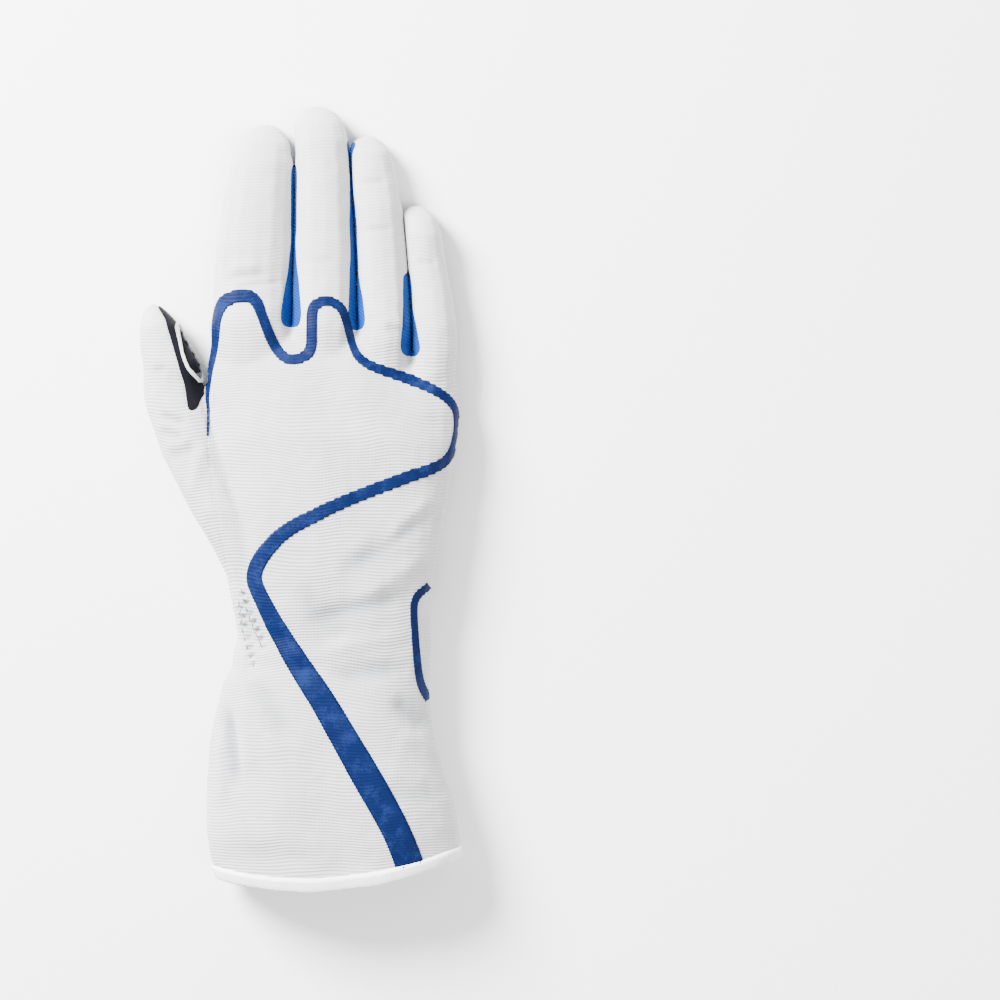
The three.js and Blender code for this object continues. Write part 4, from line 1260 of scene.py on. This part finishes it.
def lay_on_cloth(bm, form, cloth):
    """Moves a grip that follows a curve onto the soft cloth, its outer face as far off as it was."""
    looks = bpy.context.scene.glove_grips
    for vertex in bm.verts:
        off = (cloth.find_nearest(vertex.co)[0] - vertex.co).length
        place, normal, _, _ = form.find_nearest(vertex.co)
        vertex.co = place + normal * (looks.stand if off > OUTER_FACE else -GRIP_SEAT)


def follow_palm(bm, form, low, high, sink):
    """Lifts a flat grip where the soft palm curves up, and sets its outer face back."""
    for vertex in bm.verts:
        if sink and vertex.co.z < low + LEVEL:
            vertex.co.z = low + sink
        under = Vector((vertex.co.x, vertex.co.y, low + LOW_SIDE))
        hit, normal, _, _ = form.ray_cast(under, Vector((0, 0, 1)))
        if hit is not None and high < hit.z < high + PALM_RISE and normal.z < PALM_DOWN:
            vertex.co.z += hit.z - high


def grip_pieces(node, form, cloth):
    """The rim and the bars of one grip, as two pieces that stand for its node."""
    looks = bpy.context.scene.glove_grips
    curved = node in CURVED_GRIPS
    if node in GRIP_OUTLINES:
        outline = [Vector(photo_place(*place)) for place in GRIP_OUTLINES[node]]
    elif curved:
        places = [vertex.co.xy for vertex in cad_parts[node].data.vertices]
        outline = thinned([places[index] for index in convex_hull_2d(places)], looks.outline_step)
    else:
        outline = under_outline(node)
    low, high = (corner.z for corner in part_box(node))
    for part, color, operation in (("rim", looks.rim, "DIFFERENCE"), ("bars", looks.bars, "INTERSECT")):
        width = looks.thumb_rim if curved else looks.rim_width
        prism = mesh_of(inner_prism(outline, width, low - MM, high + MM), "prism")
        mesh = cut_with(mesh_of(copied_node(node), "grip"), prism, operation)
        bm = bmesh.new()
        bm.from_mesh(mesh)
        if curved:
            long = [edge for edge in bm.edges if edge.calc_length() > looks.curved_step]
            bmesh.ops.subdivide_edges(bm, edges=long, cuts=1)
            lay_on_cloth(bm, form, cloth)
        else:
            long = [edge for edge in bm.edges if edge.calc_length() > looks.flat_step]
            bmesh.ops.subdivide_edges(bm, edges=long, cuts=3)
            follow_palm(bm, form, low, high, looks.bar_sink if part == "bars" else 0.0)
        label = "White silicone" if part == "rim" else "Grey silicone"
        piece = finish_piece(f"{node}_{part}", bm, silicone(label, color), [node])
        piece.data.shade_flat()
        if not curved:
            rounded(piece, looks.edge)


# Stitches


def stitch_row(name, route, pitch, length, tree, below, is_grey):
    """A row of short threads laid on the cloth along a route of pixels."""
    material = thread("Grey thread", GREY_THREAD) if is_grey else thread("White thread", WHITE_THREAD)
    rows = smooth_route([(x, y, 1.0) for x, y in route], STITCH_STEP)
    bm = bmesh.new()
    for i in range(int(len(rows) * STITCH_STEP / pitch)):
        a = rows[min(int(i * pitch / STITCH_STEP), len(rows) - 1)]
        b = rows[min(int((i * pitch + length) / STITCH_STEP), len(rows) - 1)]
        middle = (Vector(a) + Vector(b)) / 2
        height = LOW_SIDE if below else HIGH_SIDE
        look = Vector((0, 0, 1 if below else -1))
        hit, normal, _, _ = tree.ray_cast(Vector((middle.x, middle.y, height)), look)
        if hit is None:
            continue
        heading = Vector((b[0] - a[0], b[1] - a[1], 0))
        heading -= normal * heading.dot(normal)
        if heading.length < SAME_PLACE:
            continue
        turn = heading.to_track_quat("X", "Z").to_matrix() @ quarter_turn()
        made = bmesh.ops.create_uvsphere(bm, u_segments=6, v_segments=4, radius=0.5)
        bmesh.ops.scale(bm, verts=made["verts"], vec=(*THREAD_SECTION, length))
        bmesh.ops.rotate(bm, verts=made["verts"], cent=(0, 0, 0), matrix=turn)
        bmesh.ops.translate(bm, verts=made["verts"], vec=hit + normal * THREAD_STAND)
    return finish_piece(name, bm, material)


def quarter_turn():
    """Lays a shape that stands along Z down along X."""
    return Vector((0, 0, 1)).rotation_difference(Vector((1, 0, 0))).to_matrix()


# Operators


def size_of(name, description, default):
    return FloatProperty(name=name, description=description, default=default, unit="LENGTH")


def color_of(name, description, default):
    return FloatVectorProperty(name=name, description=description, default=default, subtype="COLOR", size=3)


def share_of(name, description, default):
    return FloatProperty(name=name, description=description, default=default)


def count_of(name, description, default):
    return IntProperty(name=name, description=description, default=default)


class GloveCloth(bpy.types.PropertyGroup):
    voxel: size_of("Mesh size", "Edge of a face of the cloth", 0.85 * MM)
    weld: size_of("Weld", "Growth that closes the seams", 0.3 * MM)
    slit_gap: size_of("Slit gap", "From the middle of a slit to its walls, at least", 0.1 * MM)
    meet_height: size_of("Meet height", "Under this the walls of a slit lean together", 13.0 * MM)
    meet_reach: size_of("Meet reach", "How far from a slit its walls lean", 5.0 * MM)
    slit_hold: size_of("Slit hold", "Half the room made in each slit while welding", 1.3 * MM)
    smooth_rounds: count_of("Smoothing", "Rounds of smoothing", 6)
    seam_rounds: count_of("Seam smoothing", "Rounds that straighten a seam", 14)
    seam_sink: size_of("Seam sink", "Depth of a seam", 0.25 * MM)
    fold_strength: share_of("Folds", "Strength of the folds", 1.8)
    puff: size_of("Puff", "Height of the soft dents", 0.5 * MM)
    thickness: size_of("Thickness", "Of the cloth", 0.9 * MM)
    rib_pitch: size_of("Rib pitch", "From rib to rib", 1.3 * MM)
    rib_wobble: share_of("Rib wobble", "How uneven the ribs are", 1.6)
    white: color_of("White", "The back and cuff", (0.5, 0.5, 0.509))
    # Painted shade: the colour that the white is multiplied by in a fold's hollow.
    crease_shade: color_of("Crease shade", "Share of the white left in a fold's hollow", (0.6, 0.615, 0.65))
    navy: color_of("Navy", "The palm", (0.0018, 0.0018, 0.0035))
    knit_blue: color_of("Knit blue", "Between the fingers", (0.001, 0.035, 0.2))


class GloveTrim(bpy.types.PropertyGroup):
    film_blue: color_of("Film blue", "The stripe", (0.0002, 0.0048, 0.037))
    film_mottle: color_of("Film mottle", "Lighter places of the stripe", (0.006, 0.018, 0.085))
    film_thickness: size_of("Film", "Thickness of the film", 0.25 * MM)
    film_stand: size_of("Film seat", "Height of the film's underside", 0.05 * MM)
    edge_steps: share_of("Edge steps", "How far the film's edge keeps to the ribs", 0.55)
    tape: color_of("Tape", "The hem's band", (0.7, 0.7, 0.73))
    tape_edge: color_of("Tape edge", "The bright edge of the hem", (0.95, 0.95, 0.96))
    tape_stand: size_of("Tape stand", "Height of the tape on the cloth", 0.35 * MM)
    tape_thickness: size_of("Tape thickness", "Of the folded tape", 1.5 * MM)


class GloveGrips(bpy.types.PropertyGroup):
    rim: color_of("Rim", "The grips' rims", (0.78, 0.78, 0.79))
    rim_width: size_of("Rim width", "Of the flat grips' rims", 2.3 * MM)
    thumb_rim: size_of("Thumb rim", "Width of the rims beside the thumb", 1.3 * MM)
    bars: color_of("Bars", "The grips' bars", (0.06, 0.062, 0.072))
    bar_sink: size_of("Bar sink", "How much lower the bars are than the rims", 0.12 * MM)
    outline_step: size_of("Outline step", "Between the places of a curved grip's outline", 1.5 * MM)
    curved_step: size_of("Curved step", "Longest edge of a grip beside the thumb", 1.2 * MM)
    flat_step: size_of("Flat step", "Longest edge of a flat grip", 4 * MM)
    edge: size_of("Edge", "Rounding of the silicone", 0.15 * MM)
    stand: size_of("Stand", "How far a grip stands off the cloth", 0.6 * MM)
    stitch_pitch: size_of("Stitch pitch", "From stitch to stitch", 2.3 * MM)
    stitch_length: size_of("Stitch length", "Of one stitch", 1.7 * MM)


class GloveStage(bpy.types.PropertyGroup):
    floor: color_of("Floor", "Colour of the floor", (0.94, 0.94, 0.94))
    sky: share_of("Sky", "Strength of the light from all sides", 1.4)
    key: share_of("Key", "Strength of the main light, in watts", 160.0)
    height: size_of("Camera height", "Above the glove", 2.0)


class GLOVE_OT_cloth(bpy.types.Operator):
    """Make the white back, thumb and cuff, the navy palm and the blue strips between the fingers"""

    bl_idname = "glove.cloth"
    bl_label = "Cloth"

    def execute(self, context):
        thickness = context.scene.glove_cloth.thickness
        for node in ("hand_back", "thumb_back", "cuff"):
            cloth_piece(node + "_cloth", node, white_cloth(), thickness)
        cloth_piece("palm_suede", "palm", navy_suede(), thickness)
        for node in CLOTH_NODES:
            if node.startswith("fourchette"):
                cloth_piece(node + "_knit", node, blue_knit(), KNIT_SHARE * thickness)
        return {"FINISHED"}


class GLOVE_OT_hem(bpy.types.Operator):
    """Bind the cuff's hem with tape"""

    bl_idname = "glove.hem"
    bl_label = "Hem tape"

    def execute(self, context):
        looks = context.scene.glove_trim
        bm = form_part("hem_binding")
        bm.normal_update()
        share = bm.verts.layers.float.new("tape_share")
        columns = {}
        for vertex in bm.verts:
            columns.setdefault(tape_column(vertex), []).append(vertex.co.y)
        for vertex in bm.verts:
            levels = columns[tape_column(vertex)]
            high = max(levels)
            vertex[share] = min(1.0, (high - vertex.co.y) / max(high - min(levels), MM))
        for vertex in bm.verts:
            vertex.co += vertex.normal * looks.tape_stand
        piece = finish_piece("hem_tape", bm, satin_tape(), ["hem_binding"])
        thicken(piece, looks.tape_thickness)
        return {"FINISHED"}


class GLOVE_OT_trim(bpy.types.Operator):
    """Lay the blue film on the back and cuff"""

    bl_idname = "glove.trim"
    bl_label = "Film trim"

    def execute(self, context):
        tree = form_tree()
        film_ribbon("back_stripe_film", STRIPE_ROUTE, "back_stripe", tree)
        film_ribbon("side_patch_film", PATCH_ROUTE, "side_patch_edge", tree)
        return {"FINISHED"}


class GLOVE_OT_grips(bpy.types.Operator):
    """Give the silicone grips their finish"""

    bl_idname = "glove.grips"
    bl_label = "Grips"

    def execute(self, context):
        form, cloth = form_tree(), node_owner()[0]
        for name in sorted(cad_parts):
            if name.endswith("_grip"):
                grip_pieces(name, form, cloth)
        return {"FINISHED"}


class GLOVE_OT_stitches(bpy.types.Operator):
    """Sew the palm's hem with two rows of white thread, and the gathers of the wrist with dark thread that
    also paints the shade of their puckers
    """

    bl_idname = "glove.stitches"
    bl_label = "Stitches"

    def execute(self, context):
        looks = context.scene.glove_grips
        tree = form_tree()
        for name, (route, below, is_grey, size) in STITCH_ROWS.items():
            pitch, length = looks.stitch_pitch * size, looks.stitch_length * size
            stitch_row(name, route, pitch, length, tree, below, is_grey)
        return {"FINISHED"}


class GLOVE_OT_stage(bpy.types.Operator):
    """Add the floor, the soft lights and the camera straight above"""

    bl_idname = "glove.stage"
    bl_label = "Stage"

    def execute(self, context):
        looks = context.scene.glove_stage
        scene = context.scene
        bm = bmesh.new()
        bmesh.ops.create_grid(bm, x_segments=1, y_segments=1, size=FLOOR_SIZE)
        mesh = bpy.data.meshes.new("floor")
        bm.to_mesh(mesh)
        bm.free()
        floor = bpy.data.objects.new("floor", mesh)
        scene.collection.objects.link(floor)
        material, _, shader, _ = new_material("Pale floor", 0.9)
        shader.inputs["Base Color"].default_value = rgba(looks.floor)
        mesh.materials.append(material)
        world = bpy.data.worlds.new("Studio")
        world.use_nodes = True
        sky = world.node_tree.nodes["Background"]
        sky.inputs["Color"].default_value = (1, 1, 1, 1)
        sky.inputs["Strength"].default_value = looks.sky
        scene.world = world
        for name, place, size, share in LIGHTS:
            data = bpy.data.lights.new(name, "AREA")
            data.shape = "DISK"
            data.size = size
            data.energy = looks.key * share
            light = bpy.data.objects.new(name, data)
            light.location = place
            light.rotation_euler = (-Vector(place)).to_track_quat("-Z", "Y").to_euler()
            scene.collection.objects.link(light)
        data = bpy.data.cameras.new("camera")
        data.sensor_width = SENSOR
        depth = looks.height - 0.5 * CAD_BOX[1][2]
        data.lens = SENSOR * depth / (PHOTO_SIZE * PIXEL)
        data.clip_end = VIEW_END
        camera = bpy.data.objects.new("camera", data)
        x, y = photo_place(PHOTO_SIZE / 2, PHOTO_SIZE / 2)
        camera.location = (x, y, looks.height)
        scene.collection.objects.link(camera)
        scene.camera = camera
        return {"FINISHED"}


class GLOVE_PT_panel(bpy.types.Panel):
    bl_label = "Glove"
    bl_idname = "GLOVE_PT_panel"
    bl_space_type = "VIEW_3D"
    bl_region_type = "UI"
    bl_category = "Glove"

    def draw(self, context):
        for name, _ in GROUPS:
            group = getattr(context.scene, name)
            box = self.layout.box()
            for key in group.__annotations__:
                box.prop(group, key)
        for operator in OPERATORS:
            self.layout.operator(operator.bl_idname)


GROUPS = (
    ("glove_cloth", GloveCloth),
    ("glove_trim", GloveTrim),
    ("glove_grips", GloveGrips),
    ("glove_stage", GloveStage),
)
OPERATORS = (
    GLOVE_OT_stage,
    GLOVE_OT_cloth,
    GLOVE_OT_hem,
    GLOVE_OT_trim,
    GLOVE_OT_grips,
    GLOVE_OT_stitches,
)


def register():
    for name, group in GROUPS:
        bpy.utils.register_class(group)
        setattr(bpy.types.Scene, name, PointerProperty(type=group))
    for item in (*OPERATORS, GLOVE_PT_panel):
        bpy.utils.register_class(item)


def unregister():
    for item in reversed((*OPERATORS, GLOVE_PT_panel)):
        bpy.utils.unregister_class(item)
    for name, group in reversed(GROUPS):
        delattr(bpy.types.Scene, name)
        bpy.utils.unregister_class(group)


def main():
    register()
    for operator in OPERATORS:
        getattr(bpy.ops.glove, operator.bl_idname.split(".")[1])()


if __name__ == "__main__":
    main()
